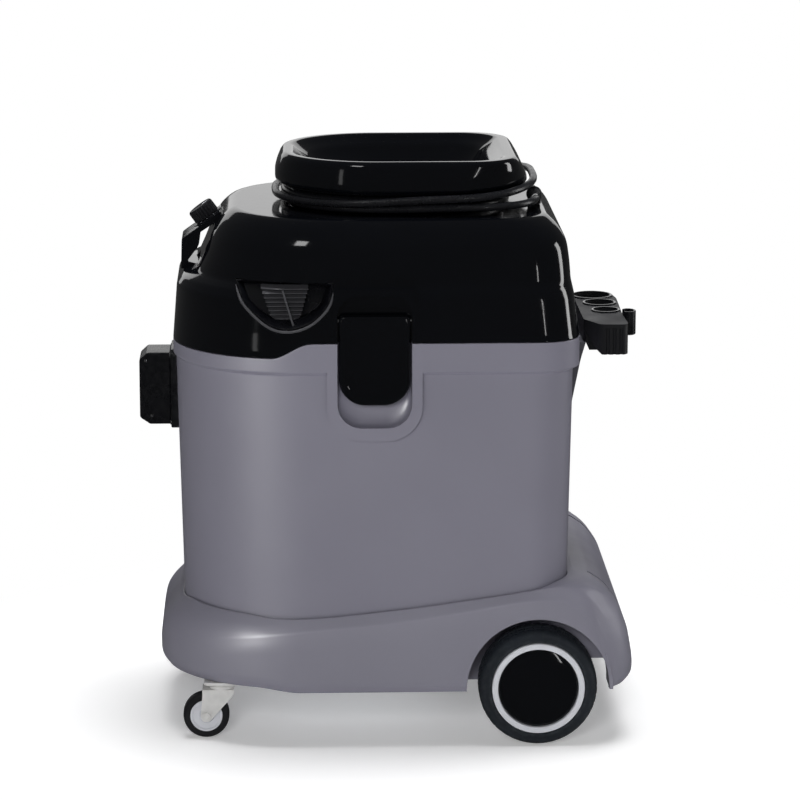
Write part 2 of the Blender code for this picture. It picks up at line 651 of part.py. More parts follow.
def vent_grille(side, s):
    y0, y1 = sorted((s * 158.0, s * 173.0))
    obj = prism("vent", shield(GAP), y0, y1)
    y0, y1 = sorted((s * 161.0, s * 180.0))
    obj = cut(obj, prism("funnel", shield(3.0), y0, y1))
    slots = []
    for k in range(8):
        z = 497.0 - 4.9 * k
        half = 26.0 - 1.1 * k
        slots.append(box(f"s{k}", (VENT_X - half, VENT_X + half), (min(s * 150, s * 170), max(s * 150, s * 170)), (z - 1.4, z + 1.2)))
    obj = cut(obj, *slots)
    return finish(obj, "vent_grille_" + side, DARK, 0.4)


def head_base():
    w = TANK_WALL
    rim = TANK_RIM
    side = (rim[0] + w + 1.6, rim[1] - w - 1.6, rim[2] - w - 1.6)
    loops = [plan(*side, level(419.0)), plan(*side, level(423.5))]
    obj = loft("head_base", loops)
    for s in (-1, 1):
        y0, y1 = sorted((s * (BOSS_BACK_Y - 2.0), s * 200.0))
        obj = cut(obj, box("c", (LATCH_X - BOSS_HALF - 1.6, LATCH_X + BOSS_HALF + 1.6), (y0, y1), (400, 430)))
    obj = cut(obj, prism("intake", circle(0, 0, 30, 24), 400, 440, "Z"))
    return finish(obj, "head_base", DARK, 0.5)


def vacuum_motor():
    profile = [(31, 426.5), (72, 426.5), (72, 468), (48, 474), (48, 530), (44, 536), (16, 536),
               (16, 530), (42, 526), (42, 474), (66, 462), (66, 432), (31, 432)]
    obj = turned("vacuum_motor", profile, (0, 0, 0), "Z", 24)
    return finish(obj, "vacuum_motor", (0.35, 0.35, 0.37), 0.35, 1.0)


def motor_rotor():
    profile = [(0, 436), (8, 436), (60, 440), (60, 452), (12, 458), (12, 480), (32, 480), (32, 520), (8, 520), (8, 540), (0, 540)]
    obj = turned("motor_rotor", profile, (0, 0, 0), "Z", 20)
    return finish(obj, "motor_rotor", (0.6, 0.58, 0.55), 0.35, 1.0, pivot=(0, 0, 480))


def exhaust_foam():
    obj = turned("exhaust_foam", [(74.5, 430), (92, 430), (92, 466), (74.5, 466)], (0, 0, 0), "Z", 24)
    return finish(obj, "exhaust_foam", (0.05, 0.05, 0.055), 0.95)


def motor_baffle():
    profile = [(74.5, 424.2), (103, 424.2), (103, 472), (76, 472.0), (76, 469.0), (99, 469), (99, 427.5), (74.5, 427.5)]
    obj = turned("motor_baffle", profile, (0, 0, 0), "Z", 24)
    slots = []
    for k in range(6):
        a = 60 * k + 30
        blade = box(f"w{k}", (92, 112), (-9, 9), (436, 460))
        blade.data.transform(Matrix.Rotation(math.radians(a), 4, "Z"))
        slots.append(blade)
    obj = cut(obj, *slots)
    return finish(obj, "motor_baffle", DARK, 0.5)


def float_cage():
    profile = [(34, 418.6), (48, 418.6), (48, 414), (44, 412), (44, 338), (41, 335), (0, 335), (0, 337.5), (39.5, 337.5), (41.5, 339.5), (41.5, 412), (34, 414)]
    obj = turned("float_cage", profile, (0, 0, 0), "Z", 20)
    slots = []
    for k in range(4):
        blade = box(f"w{k}", (-60, 60), (-8, 8), (348, 404))
        blade.data.transform(Matrix.Rotation(math.radians(45 * k), 4, "Z"))
        slots.append(blade)
    obj = cut(obj, *slots)
    return finish(obj, "float_cage", (0.5, 0.5, 0.52), 0.5)


def float_ball():
    steps = 8
    profile = [(29.0 * math.sin(math.pi * k / steps), 368.5 - 29.0 * math.cos(math.pi * k / steps)) for k in range(steps + 1)]
    profile[0] = (0, 339.5)
    profile[-1] = (0, 397.5)
    obj = turned("float_ball", profile, (0, 0, 0), "Z", 16)
    return finish(obj, "float_ball", (0.75, 0.3, 0.08), 0.45, pivot=(0, 0, 368.5))


def top_ring():
    outer = [plan(-117.0, 140.0, 118.0, level(NECK_TOP + GAP), 108, 100, 80, 80),
             plan(-124.0, 149.0, 123.0, level(593), 112, 104, 84, 84),
             plan(-124.5, 148.5, 123.0, level(600), 112, 104, 80, 80),
             plan(-122.0, 144.0, 122.0, level(610), 110, 100, 66, 66),
             plan(-117.5, 138.0, 119.5, level(620), 104, 94, 52, 52),
             plan(-113.5, 134.0, 116.0, level(RING_TOP), 100, 90, 46, 46),
             plan(-106.0, 122.0, 108.0, level(RING_TOP), 94, 86, 42, 42),
             plan(-100.0, 115.0, 103.0, level(618), 92, 84, 40, 40),
             plan(-93.0, 107.0, 97.0, level(613), 88, 80, 38, 38),
             plan(-88.0, 102.0, 92.0, level(604), 84, 76, 36, 36),
             plan(-80.0, 95.0, 84.0, level(593), 80, 72, 34, 34)]
    obj = loft("top_ring", outer)
    return finish(obj, "top_ring", BLACK, 0.12)


def control_console():
    side = [(-227.6, 495), (-226.6, 527.5), (-222.0, 531.0), (-184.2, 557.5), (-184.2, 549.0), (-206.8, 534.5),
            (-207.2, 521.0), (-221.0, 503.0), (-204.0, 499.0), (-204.0, 495)]
    obj = prism("control_console", side, -26, 26)
    turn = Matrix.Rotation(KNOB_TILT, 4, "Y")
    bore = turned("bore", [(0, -10), (3.4, -10), (3.4, 10), (0, 10)], KNOB_AT, turn, 12)
    obj = cut(obj, bore)
    return finish(obj, "control_console", BLACK, 0.2)


KNOB_TILT = -math.atan2(21.4, 29.8)
KNOB_AT = (-198.6, 0.0, 547.9)


def control_knob():
    turn = Matrix.Rotation(KNOB_TILT, 4, "Y")
    points = []
    for k in range(36):
        a = 2 * math.pi * k / 36
        r = 15.0 if k % 3 else 13.6
        points.append((r * math.cos(a), r * math.sin(a)))
    bm = bmesh.new()
    rows = []
    for d, f in ((0.6, 1.0), (14.0, 0.97), (15.2, 0.88)):
        rows.append([bm.verts.new(Vector((u * f, v * f, d)) * MM) for u, v in points])
    for a, b in zip(rows, rows[1:]):
        for i in range(36):
            j = (i + 1) % 36
            bm.faces.new((a[i], a[j], b[j], b[i]))
    bm.faces.new(rows[0])
    bm.faces.new(rows[-1])
    obj = mesh_object("control_knob", bm)
    stem = prism("stem", circle(0, 0, 3.0, 12), -6, 2, "Z")
    obj = join(obj, stem)
    obj.data.transform(Matrix.Translation(Vector(KNOB_AT) * MM) @ turn)
    return finish(obj, "control_knob", DARK, 0.5, pivot=KNOB_AT)


def latch(side, s):
    outline = []
    r = LATCH_CORNER
    for k in range(6):
        a = math.radians(180 + 90 * k / 5)
        outline.append((LATCH_X - LATCH_HALF + r + r * math.cos(a), LATCH_BOTTOM + r + r * math.sin(a)))
    for k in range(6):
        a = math.radians(270 + 90 * k / 5)
        outline.append((LATCH_X + LATCH_HALF - r + r * math.cos(a), LATCH_BOTTOM + r + r * math.sin(a)))
    outline += [(LATCH_X + LATCH_HALF, LATCH_TOP - 5), (LATCH_X + LATCH_HALF - 5, LATCH_TOP),
                (LATCH_X - LATCH_HALF + 5, LATCH_TOP), (LATCH_X - LATCH_HALF, LATCH_TOP - 5)]
    y0, y1 = sorted((s * 178.5, s * 189.0))
    obj = prism("latch", outline, y0, y1)
    obj = cut(obj, prism("pin", circle(s * 0 + LATCH_PIN_Y * s, LATCH_PIN_Z, 2.3, 12), LATCH_X - 60, LATCH_X + 60, "X"))
    finish(obj, "latch_" + side, BLACK, 0.2, pivot=(LATCH_X, s * LATCH_PIN_Y, LATCH_PIN_Z))
    pin = turned("pin", [(0, -38.9), (2.0, -38.9), (2.0, 38.9), (0, 38.9)], (LATCH_X, s * LATCH_PIN_Y, LATCH_PIN_Z), "X", 12)
    finish(pin, "latch_pin_" + side, ZINC, 0.3, 1.0)


# ---------------------------------------------------------------- cord

def cord_winding():
    """Outer shape of the turns wound on the neck, one closed band."""
    low, high = HEAD_TOP + 0.6, NECK_TOP - 0.2
    a = (NECK[0] - 0.8, NECK[1] + 0.8, NECK[2] + 0.8)
    b = (NECK[0] - WINDING, NECK[1] + WINDING + 6, NECK[2] + WINDING)
    c = (b[0] + 2.5, b[1] - 2.5, b[2] - 2.5)
    ends = tuple(v + WINDING - 4 for v in NECK_ENDS)
    loops = [plan(*a, level(low), *NECK_ENDS), plan(*c, level(low), *ends), plan(*b, level(low + 3.5), *ends),
             plan(*b, level(high - 3.5), *ends), plan(*c, level(high), *ends), plan(*a, level(high), *NECK_ENDS)]
    obj = loft("cord_winding", loops, ring=True)
    return finish(obj, "cord_winding", DARK, 0.5)


LEAD = ((157.0, -67.0, 577.0), (156.2, -77.0, 576.8), (152.5, -87.0, 576.5), (145.8, -97.0, 576.2), (137.0, -105.5, 576.0),
        (126.5, -112.5, 576.0), (114.0, -117.8, 576.0), (100.0, -121.3, 576.0), (85.0, -123.0, 576.0))
DROP_END = (70.0, 192.0, 536.0)
# the loose outer turn, from the far rear corner round the rear, near side and front back to the far side
LOOSE = ((72.0, 122.0, 581.5), (96.0, 115.0, 583.0), (119.0, 105.0, 586.0), (139.0, 88.5, 589.5), (151.0, 64.0, 592.5),
         (156.5, 38.0, 594.5), (157.0, 15.0, 595.5), (157.0, -5.0, 595.5), (157.0, -25.0, 595.3), (155.0, -52.0, 594.5),
         (147.5, -77.0, 592.5), (133.0, -99.0, 590.0), (112.0, -115.5, 588.0), (87.0, -124.5, 586.3), (60.0, -126.5, 585.5),
         (30.0, -125.5, 584.5), (0.0, -123.5, 582.5), (-36.0, -120.0, 580.5), (-66.6, -108.6, 579.5), (-93.6, -89.6, 579.0),
         (-112.0, -65.2, 579.0), (-122.5, -36.3, 579.0), (-124.0, -11.0, 579.0), (-124.0, 12.0, 579.0), (-122.4, 37.4, 579.0),
         (-111.8, 65.3, 579.0), (-93.4, 89.6, 578.6), (-67.2, 108.8, 578.0), (-36.4, 119.8, 577.5), (-8.0, 121.8, 577.0))


def tail_points():
    """The loose turn, then a smooth swing over the far shoulder and down to the plug."""
    points = list(LOOSE)
    swing = ((14.0, 121.8, 577.0), (64.0, 121.8, 579.5), (70.0, 192.0, 584.0), DROP_END)
    for k in range(13):
        t = k / 12
        weights = ((1 - t) ** 3, 3 * t * (1 - t) ** 2, 3 * t * t * (1 - t), t ** 3)
        points.append(tuple(sum(w * p[i] for w, p in zip(weights, swing)) for i in range(3)))
    return points


def tube(name, points):
    curve = bpy.data.curves.new(name, "CURVE")
    curve.dimensions = "3D"
    curve.bevel_depth = CORD_D / 2 * MM
    curve.bevel_resolution = 2
    curve.use_fill_caps = True
    spline = curve.splines.new("POLY")
    spline.points.add(len(points) - 1)
    for point, p in zip(spline.points, points):
        point.co = (p[0] * MM, p[1] * MM, p[2] * MM, 1)
    holder = bpy.data.objects.new("curve", curve)
    bpy.context.scene.collection.objects.link(holder)
    mesh = bpy.data.meshes.new_from_object(holder.evaluated_get(bpy.context.evaluated_depsgraph_get()))
    bpy.data.objects.remove(holder, do_unlink=True)
    obj = bpy.data.objects.new(name, mesh)
    bpy.context.scene.collection.objects.link(obj)
    bm = bmesh.new()
    bm.from_mesh(mesh)
    bmesh.ops.remove_doubles(bm, verts=bm.verts, dist=1e-6)
    bmesh.ops.recalc_face_normals(bm, faces=bm.faces)
    bm.to_mesh(mesh)
    bm.free()
    return finish(obj, name, DARK, 0.5)


def cord_gland():
    profile = [(0, 0), (8.5, 0), (8.5, 6), (7.0, 7.5), (5.2, 27), (0, 27)]
    obj = turned("cord_gland", profile, (157.0, -39.0, 577.5), "Y", 16)
    foot = box("foot", (150, 164), (-46, -34), (567.4, 578))
    obj = join(obj, foot)
    return finish(obj, "cord_gland", DARK, 0.6)


def cord_plug():
    x, y, top = DROP_END[0], DROP_END[1], DROP_END[2] - 1.2
    body = prism("body", rounded(x - 19, x + 19, y - 10.5, y + 10.5, 8), top - 40, top - 6, "Z")
    neck = turned("neck", [(0, top - 8), (9, top - 8), (6.5, top), (0, top)], (x, y, 0), "Z", 16)
    obj = join(body, neck)
    for s in (-1, 1):
        obj = join(obj, prism("pin", circle(x + 9.5 * s, y, 2.4, 10), top - 58, top - 38, "Z"))
    return finish(obj, "cord_plug", DARK, 0.5)


def main():
    clear_scene()
    recovery_tank()
    inlet_flange()
    inlet_housing()
    hose_socket()
    inlet_deflector()
    solution_coupling()
    holder_bracket()
    tool_holder()
    holder_clip()
    trolley_base()
    rear_axle()
    wheel("left", -1)
    wheel("right", 1)
    caster("left", -1)
    caster("right", 1)
    solution_tank()
    solution_pump()
    head_cover()
    vent_grille("left", -1)
    vent_grille("right", 1)
    tank_gasket()
    head_base()
    vacuum_motor()
    motor_rotor()
    exhaust_foam()
    motor_baffle()
    float_cage()
    float_ball()
    top_ring()
    control_console()
    control_knob()
    latch("left", -1)
    latch("right", 1)
    cord_gland()
    cord_winding()
    tube("cord_lead", LEAD)
    tube("cord_tail", tail_points())
    cord_plug()
    for obj in bpy.context.scene.collection.objects:
        obj.location.x += SHIFT_X * MM


main()
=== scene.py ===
"""Looks of the spot extractor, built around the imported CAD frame.

Lengths are in millimetres until solid() scales them.
"""
import math

import bmesh
import bpy
from mathutils import Matrix, Vector
from mathutils.bvhtree import BVHTree


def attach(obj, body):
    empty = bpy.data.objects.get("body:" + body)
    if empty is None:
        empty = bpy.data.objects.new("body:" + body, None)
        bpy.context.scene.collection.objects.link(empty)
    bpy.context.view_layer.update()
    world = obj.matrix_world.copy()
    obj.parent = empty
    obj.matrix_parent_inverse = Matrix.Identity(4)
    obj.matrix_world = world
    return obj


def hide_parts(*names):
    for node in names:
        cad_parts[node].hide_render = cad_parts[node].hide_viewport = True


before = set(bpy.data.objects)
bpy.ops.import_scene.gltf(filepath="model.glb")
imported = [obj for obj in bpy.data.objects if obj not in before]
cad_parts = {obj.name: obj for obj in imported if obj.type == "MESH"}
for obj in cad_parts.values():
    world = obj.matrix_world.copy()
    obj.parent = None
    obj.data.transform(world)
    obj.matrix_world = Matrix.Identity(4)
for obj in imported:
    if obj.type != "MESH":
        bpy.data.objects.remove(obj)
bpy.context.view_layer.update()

MM = 0.001
SHIFT = 3.6  # the CAD moves everything this far along X at its end

REAR_STEPS = 14
SIDE_STEPS = 34
NOSE_STEPS = 44

SEAM_GAP = 0.9
TANK_RIM = (-236, 199, 190)
TANK_UNDER_RIM = (-233, 192.5, 186)
TANK_FOOT = (-227, 188.5, 181.5)
TANK_WALL = 3.5
JUNCTION = ((-260, 138.5), (-229, 139), (-215, 143.5), (-165, 143), (-122, 140), (-90, 141), (6, 150),
    (81, 160), (157, 172), (178, 177.5), (260, 186))
CREASE = ((-260, 108), (-232, 108.5), (-200, 115), (-117, 126.5), (6, 138.5), (81, 150), (156, 161),
    (177, 160.5), (199, 148), (217, 127), (226, 101), (234, 93), (262, 93))
SKIRT = ((-260, 64.5), (-150, 64.5), (-100, 59.5), (260, 59.5))
LATCH_X = -20.5
LATCH_HALF = 37.8
WHEEL_X = 155
WHEEL_Z = 64
WHEEL_INNER = 153
CASTER_X = -186
CASTER_Y = 146
CASTER_AXLE_X = -203
HEAD_TOP = 567
NECK = (-78, 92, 76)
NECK_ENDS = (70, 64, 64, 56)
NECK_TOP = 588
RING_TOP = 624
CORD_D = 8.3
SIDES = (("left", -1), ("right", 1))


# ------------ shape helpers

def step01(t):
    t = min(1, max(0, t))
    return t * t * (3 - 2 * t)


def at(table, x):
    """Smooth reading of a table of (x, z) pairs, with no overshoot."""
    if x <= table[0][0]:
        return table[0][1]
    if x >= table[-1][0]:
        return table[-1][1]
    slopes = [(b[1] - a[1]) / (b[0] - a[0]) for a, b in zip(table, table[1:])]
    ends = [slopes[0]]
    for s, t in zip(slopes, slopes[1:]):
        ends.append(0 if s * t <= 0 else 2 * s * t / (s + t))
    ends.append(slopes[-1])
    for k, ((x0, z0), (x1, z1)) in enumerate(zip(table, table[1:])):
        if x <= x1:
            w = x1 - x0
            t = (x - x0) / w
            low = z0 * (1 + 2 * t) * (1 - t) ** 2 + ends[k] * w * t * (1 - t) ** 2
            return low + z1 * t * t * (3 - 2 * t) + ends[k + 1] * w * t * t * (t - 1)


def seam(x):
    return 443 - 16 * step01((-88 - x) / 42)


def junction(x):
    return at(JUNCTION, x)


def crease(x):
    return at(CREASE, x)


def skirt(x):
    return at(SKIRT, x)


def tank_floor(x):
    return junction(x) - 10


def between(t):
    """Height part of the way up the sloping band from the crease to the junction."""
    return lambda x: crease(x) + t * (junction(x) - crease(x))


def shifted(base, dz):
    return lambda x: base(x) + dz


def plan(x0, x1, half, z, nose=136, reach=130, rear=44, broad=None):
    """Loop round the body: tight rear corners, straight sides, elliptic nose; z is a number or a function."""
    broad = rear if broad is None else broad
    side = []
    for k in range(REAR_STEPS + 1):
        a = math.radians(90 * k / REAR_STEPS)
        side.append((x1 - rear + rear * math.cos(a), half - broad + broad * math.sin(a)))
    low, high = x0 + nose, x1 - rear
    for k in range(1, SIDE_STEPS):
        side.append((high + (low - high) * k / SIDE_STEPS, half))
    for k in range(NOSE_STEPS + 1):
        a = math.radians(90 * k / NOSE_STEPS)
        side.append((low - nose * math.sin(a), half - reach + reach * math.cos(a)))
    height = z if callable(z) else lambda x: z
    near = [(x, -y, height(x)) for x, y in side]
    far = [(x, y, height(x)) for x, y in reversed(side)]
    return near + far


def added(name, data):
    """New object in the scene."""
    obj = bpy.data.objects.new(name, data)
    bpy.context.scene.collection.objects.link(obj)
    return obj


def from_bmesh(name, bm):
    """New object with the faces of a bmesh."""
    mesh = bpy.data.meshes.new(name)
    bm.to_mesh(mesh)
    bm.free()
    return added(name, mesh)


def solid(name, bm):
    """Object from a bmesh in millimetres, moved to where the CAD stands."""
    bmesh.ops.recalc_face_normals(bm, faces=bm.faces)
    bmesh.ops.transform(bm, matrix=Matrix.Scale(MM, 4) @ Matrix.Translation((SHIFT, 0, 0)), verts=bm.verts)
    return from_bmesh(name, bm)


def bow(s, p, e, n):
    """Points on a curve from s to e that leaves and arrives along the lines to p."""
    return [s * (1 - t) ** 2 + p * (2 * t * (1 - t)) + e * t * t for t in (j / n for j in range(n + 1))]


def rounded_rows(rows, ring=False, steps=5):
    """Rows of (loop, radius) with every corner between rows turned into a small arc."""
    out = []
    count = len(rows)
    for i, (loop, radius) in enumerate(rows):
        if radius <= 0 or (not ring and i in (0, count - 1)):
            out.append([Vector(p) for p in loop])
            continue
        before, after = rows[i - 1][0], rows[(i + 1) % count][0]
        arcs = [[] for _ in range(steps + 1)]
        for p, a, b in zip(loop, before, after):
            p, a, b = Vector(p), Vector(a), Vector(b)
            la, lb = (a - p).length, (b - p).length
            d = min(radius, 0.48 * la, 0.48 * lb)
            s = p + (a - p) * (d / la) if la > 1e-6 else p
            e = p + (b - p) * (d / lb) if lb > 1e-6 else p
            for row, q in zip(arcs, bow(s, p, e, steps)):
                row.append(q)
        out.extend(arcs)
    return out


def band(bm, a, b):
    """Faces between two rings of vertices."""
    for i in range(len(a)):
        j = (i + 1) % len(a)
        bm.faces.new((a[i], a[j], b[j], b[i]))


def skin(name, loops, ring=False, strips=False):
    """Solid through loops of equal length; its ends are strips, or single faces, or meet as a ring."""
    bm = bmesh.new()
    rows = [[bm.verts.new(p) for p in loop] for loop in loops]
    n = len(rows[0])
    pairs = list(zip(rows, rows[1:]))
    if ring:
        pairs.append((rows[-1], rows[0]))
    for a, b in pairs:
        band(bm, a, b)
    if not ring:
        for row in (rows[0], rows[-1]):
            if strips:
                for i in range(n // 2 - 1):
                    bm.faces.new((row[i], row[i + 1], row[n - 2 - i], row[n - 1 - i]))
            else:
                bm.faces.new(row)
    return solid(name, bm)


def loft(name, rows, ring=False, steps=5):
    """Solid through plans, each row being the sizes of a plan with its corner radius last."""
    rows = [(plan(*row[:-1]), row[-1]) for row in rows]
    return skin(name, rounded_rows(rows, ring, steps), ring, strips=True)


def prism(name, outline, lo, hi, axis="Y"):
    return skin(name, [[{"Y": (u, d, v), "X": (d, u, v), "Z": (u, v, d)}[axis] for u, v in outline]
        for d in (lo, hi)])


def box(name, x, y, z):
    return prism(name, [(x[0], z[0]), (x[1], z[0]), (x[1], z[1]), (x[0], z[1])], y[0], y[1])


def arc(u, v, r, start, sweep, n):
    """Points on an arc, with its start and sweep in degrees."""
    turn = [math.radians(start + sweep * k / n) for k in range(n + 1)]
    return [(u + r * math.cos(a), v + r * math.sin(a)) for a in turn]


def circle(u, v, r, n=48):
    return [(u + r * math.cos(2 * math.pi * k / n), v + r * math.sin(2 * math.pi * k / n))
        for k in range(n)]


def rounded(u0, u1, v0, v1, r):
    return (arc(u1 - r, v0 + r, r, -90, 90, 8) + arc(u1 - r, v1 - r, r, 0, 90, 8)
        + arc(u0 + r, v1 - r, r, 90, 90, 8) + arc(u0 + r, v0 + r, r, 180, 90, 8))


def round_corners(outline, radius, n=6):
    """Closed polygon with each corner turned into an arc; radius is one number or one for each corner."""
    out = []
    count = len(outline)
    for i, p in enumerate(outline):
        r = radius[i] if isinstance(radius, (list, tuple)) else radius
        p, a, b = Vector(p), Vector(outline[i - 1]), Vector(outline[(i + 1) % count])
        d = min(r, 0.45 * (a - p).length, 0.45 * (b - p).length)
        if d <= 0:
            out.append(tuple(p))
            continue
        s = p + (a - p).normalized() * d
        e = p + (b - p).normalized() * d
        out += [tuple(q) for q in bow(s, p, e, n)]
    return out


def through(points, parts):
    """Smooth curve through the points, each span cut into parts."""
    pts = [Vector(p) for p in points]
    out = []
    for k in range(len(pts) - 1):
        a, b, c, d = pts[max(0, k - 1)], pts[k], pts[k + 1], pts[min(len(pts) - 1, k + 2)]
        for j in range(parts):
            t = j / parts
            bend = (2 * a - 5 * b + 4 * c - d) * t * t + (3 * b - a - 3 * c + d) * t ** 3
            out.append(0.5 * ((2 * b) + (c - a) * t + bend))
    return out + [pts[-1]]


def length(points):
    return sum((b - a).length for a, b in zip(points, points[1:]))


def spread(points, count):
    """Points at even distances along a line, without its end."""
    gaps = [(b - a).length for a, b in zip(points, points[1:])]
    total = sum(gaps)
    out = []
    k, gone = 0, 0
    for j in range(count):
        want = total * j / count
        while gone + gaps[k] < want:
            gone += gaps[k]
            k += 1
        out.append(points[k].lerp(points[k + 1], (want - gone) / max(1e-9, gaps[k])))
    return out


TURNS = {"Z": Matrix(), "Y": Matrix.Rotation(math.radians(90), 4, "X"),
    "X": Matrix.Rotation(math.radians(90), 4, "Y")}


def turned(name, profile, centre, axis="Z", steps=72, reshape=None):
    """Solid of revolution of a closed (radius, along) profile; reshape(k, i, r, d) may move a point."""
    turn = TURNS[axis] if isinstance(axis, str) else axis
    bm = bmesh.new()
    rings = []
    for i, (r, d) in enumerate(profile):
        if r < 1e-6:
            rings.append([bm.verts.new((0, 0, d))])
            continue
        ring = []
        for k in range(steps):
            a = 2 * math.pi * k / steps
            rr, dd = reshape(k, i, r, d) if reshape else (r, d)
            ring.append(bm.verts.new((rr * math.cos(a), rr * math.sin(a), dd)))
        rings.append(ring)
    for i, a in enumerate(rings):
        b = rings[(i + 1) % len(rings)]
        if len(a) == 1 and len(b) == 1:
            continue
        for k in range(steps):
            j = (k + 1) % steps
            if len(a) == 1:
                bm.faces.new((a[0], b[j], b[k]))
            elif len(b) == 1:
                bm.faces.new((a[k], a[j], b[0]))
            else:
                bm.faces.new((a[k], a[j], b[j], b[k]))
    bmesh.ops.transform(bm, matrix=Matrix.Translation(centre) @ turn, verts=bm.verts)
    return solid(name, bm)


def bent(name, points, radius, sides=12, ends=()):
    """Round bar along points; ends gives a radius factor for the first and last few rings."""
    pts = [Vector(p) for p in points]
    bm = bmesh.new()
    rings = []
    n = len(pts)
    for i, p in enumerate(pts):
        t = (pts[min(i + 1, n - 1)] - pts[max(i - 1, 0)]).normalized()
        side = t.cross(Vector((0, 0, 1)))
        if side.length < 1e-3:
            side = t.cross(Vector((1, 0, 0)))
        side.normalize()
        lift = side.cross(t).normalized()
        from_end = min(i, n - 1 - i)
        r = radius * (ends[from_end] if from_end < len(ends) else 1)
        turn = [2 * math.pi * k / sides for k in range(sides)]
        rings.append([bm.verts.new(p + side * (r * math.cos(a)) + lift * (r * math.sin(a))) for a in turn])
    for a, b in zip(rings, rings[1:]):
        band(bm, a, b)
    bm.faces.new(rings[0])
    bm.faces.new(rings[-1])
    return solid(name, bm)


def combine(obj, other, how):
    mod = obj.modifiers.new(how.lower(), "BOOLEAN")
    mod.operation = how
    mod.solver = "EXACT"
    mod.object = other
    bake(obj)
    bpy.data.objects.remove(other, do_unlink=True)


def cut(obj, *cutters):
    for cutter in cutters:
        combine(obj, cutter, "DIFFERENCE")
    return obj


def join(obj, *others):
    for other in others:
        combine(obj, other, "UNION")
    return obj


def gather(name, *objs):
    """One mesh out of several separate bodies."""
    bm = bmesh.new()
    for obj in objs:
        bm.from_mesh(obj.data)
        bpy.data.objects.remove(obj, do_unlink=True)
    return from_bmesh(name, bm)


def shade(obj, angle=30):
    bm = bmesh.new()
    bm.from_mesh(obj.data)
    for face in bm.faces:
        face.smooth = True
    for edge in bm.edges:
        edge.smooth = not (len(edge.link_faces) == 2 and edge.calc_face_angle(0) > math.radians(angle))
    bm.to_mesh(obj.data)
    bm.free()
    return obj


def soften(obj, width, segments=3, angle=32):
    """Rounded edges, with normals weighted by face size so that flat faces stay flat."""
    bpy.context.view_layer.objects.active = obj
    mod = obj.modifiers.new("edges", "BEVEL")
    mod.width = width * MM
    mod.segments = segments
    mod.limit_method = "ANGLE"
    mod.angle_limit = math.radians(angle)
    mod.miter_outer = "MITER_ARC"
    for face in obj.data.polygons:
        face.use_smooth = True
    for edge in obj.data.edges:
        edge.use_edge_sharp = False
    even = obj.modifiers.new("normals", "WEIGHTED_NORMAL")
    even.weight = 50
    even.keep_sharp = False
    return bake(obj)


def bake(obj):
    """Applies what modifiers made."""
    graph = bpy.context.evaluated_depsgraph_get()
    mesh = bpy.data.meshes.new_from_object(obj.evaluated_get(graph))
    obj.modifiers.clear()
    old = obj.data
    obj.data = mesh
    bpy.data.meshes.remove(old)
    return obj


def piece(obj, name, body, material, replaces=()):
    obj.name = name
    obj.data.name = name
    obj.data.materials.clear()
    obj.data.materials.append(material)
    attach(obj, body)
    if replaces:
        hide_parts(*([replaces] if isinstance(replaces, str) else replaces))
    return obj


# ------------ materials

def new_material(name):
    mat = bpy.data.materials.new(name)
    mat.use_nodes = True
    return mat, mat.node_tree.nodes, mat.node_tree.links.new


def put(node, values):
    for name, value in values.items():
        node.inputs[name].default_value = value


def surface(name, colour, rough, metallic=0, vary=(0.12, 9), rough_vary=0.05, grain=(0.03, 1200),
        wave=(0, 45), coat=(0, 0.08), wear=None, sheen=0):
    """Moulded, metal or rubber surface: drifting colour and roughness, grain, waviness and worn edges."""
    mat, nodes, link = new_material(name)
    shader = nodes["Principled BSDF"]
    put(shader, {"Metallic": metallic, "IOR": 1.5, "Coat Weight": coat[0], "Coat Roughness": coat[1],
        "Sheen Weight": sheen})
    place = nodes.new("ShaderNodeTexCoord")

    def noise(scale, detail, rough=0.5):
        node = nodes.new("ShaderNodeTexNoise")
        put(node, {"Scale": scale, "Detail": detail, "Roughness": rough})
        link(place.outputs["Object"], node.inputs["Vector"])
        return node.outputs["Fac"]

    def ranged(value, lo, hi, low=0.3, high=0.7):
        node = nodes.new("ShaderNodeMapRange")
        put(node, {"From Min": low, "From Max": high, "To Min": lo, "To Max": hi})
        link(value, node.inputs["Value"])
        return node.outputs["Result"]

    slow = noise(vary[1], 3)
    tint = nodes.new("ShaderNodeMix")
    tint.data_type = "RGBA"
    tint.inputs["A"].default_value = (*[c * (1 - vary[0]) for c in colour], 1)
    tint.inputs["B"].default_value = (*[min(1, c * (1 + vary[0])) for c in colour], 1)
    link(ranged(slow, 0, 1), tint.inputs["Factor"])
    colour_out = tint.outputs["Result"]
    if wear:
        shape = nodes.new("ShaderNodeNewGeometry")
        edge = ranged(shape.outputs["Pointiness"], 0, wear[1], 0.505, 0.56)
        scuff = ranged(noise(160, 4, 0.7), 0, 1, 0.42, 0.62)
        amount = nodes.new("ShaderNodeMath")
        amount.operation = "MULTIPLY"
        link(edge, amount.inputs[0])
        link(scuff, amount.inputs[1])
        worn = nodes.new("ShaderNodeMix")
        worn.data_type = "RGBA"
        link(amount.outputs[0], worn.inputs["Factor"])
        link(colour_out, worn.inputs["A"])
        worn.inputs["B"].default_value = (*wear[0], 1)
        colour_out = worn.outputs["Result"]
    link(colour_out, shader.inputs["Base Color"])
    smudge = noise(vary[1] * 2.6, 5, 0.62)
    link(ranged(smudge, max(0.02, rough - rough_vary), rough + rough_vary),
        shader.inputs["Roughness"])
    normal = None
    for (depth, scale), detail in ((wave, (1,)), (grain, (3, 0.6))):
        if depth:
            bump = nodes.new("ShaderNodeBump")
            put(bump, {"Strength": 1, "Distance": depth * MM})
            link(noise(scale, *detail), bump.inputs["Height"])
            if normal:
                link(normal, bump.inputs["Normal"])
            normal = bump.outputs["Normal"]
            link(normal, shader.inputs["Normal"])
    return mat


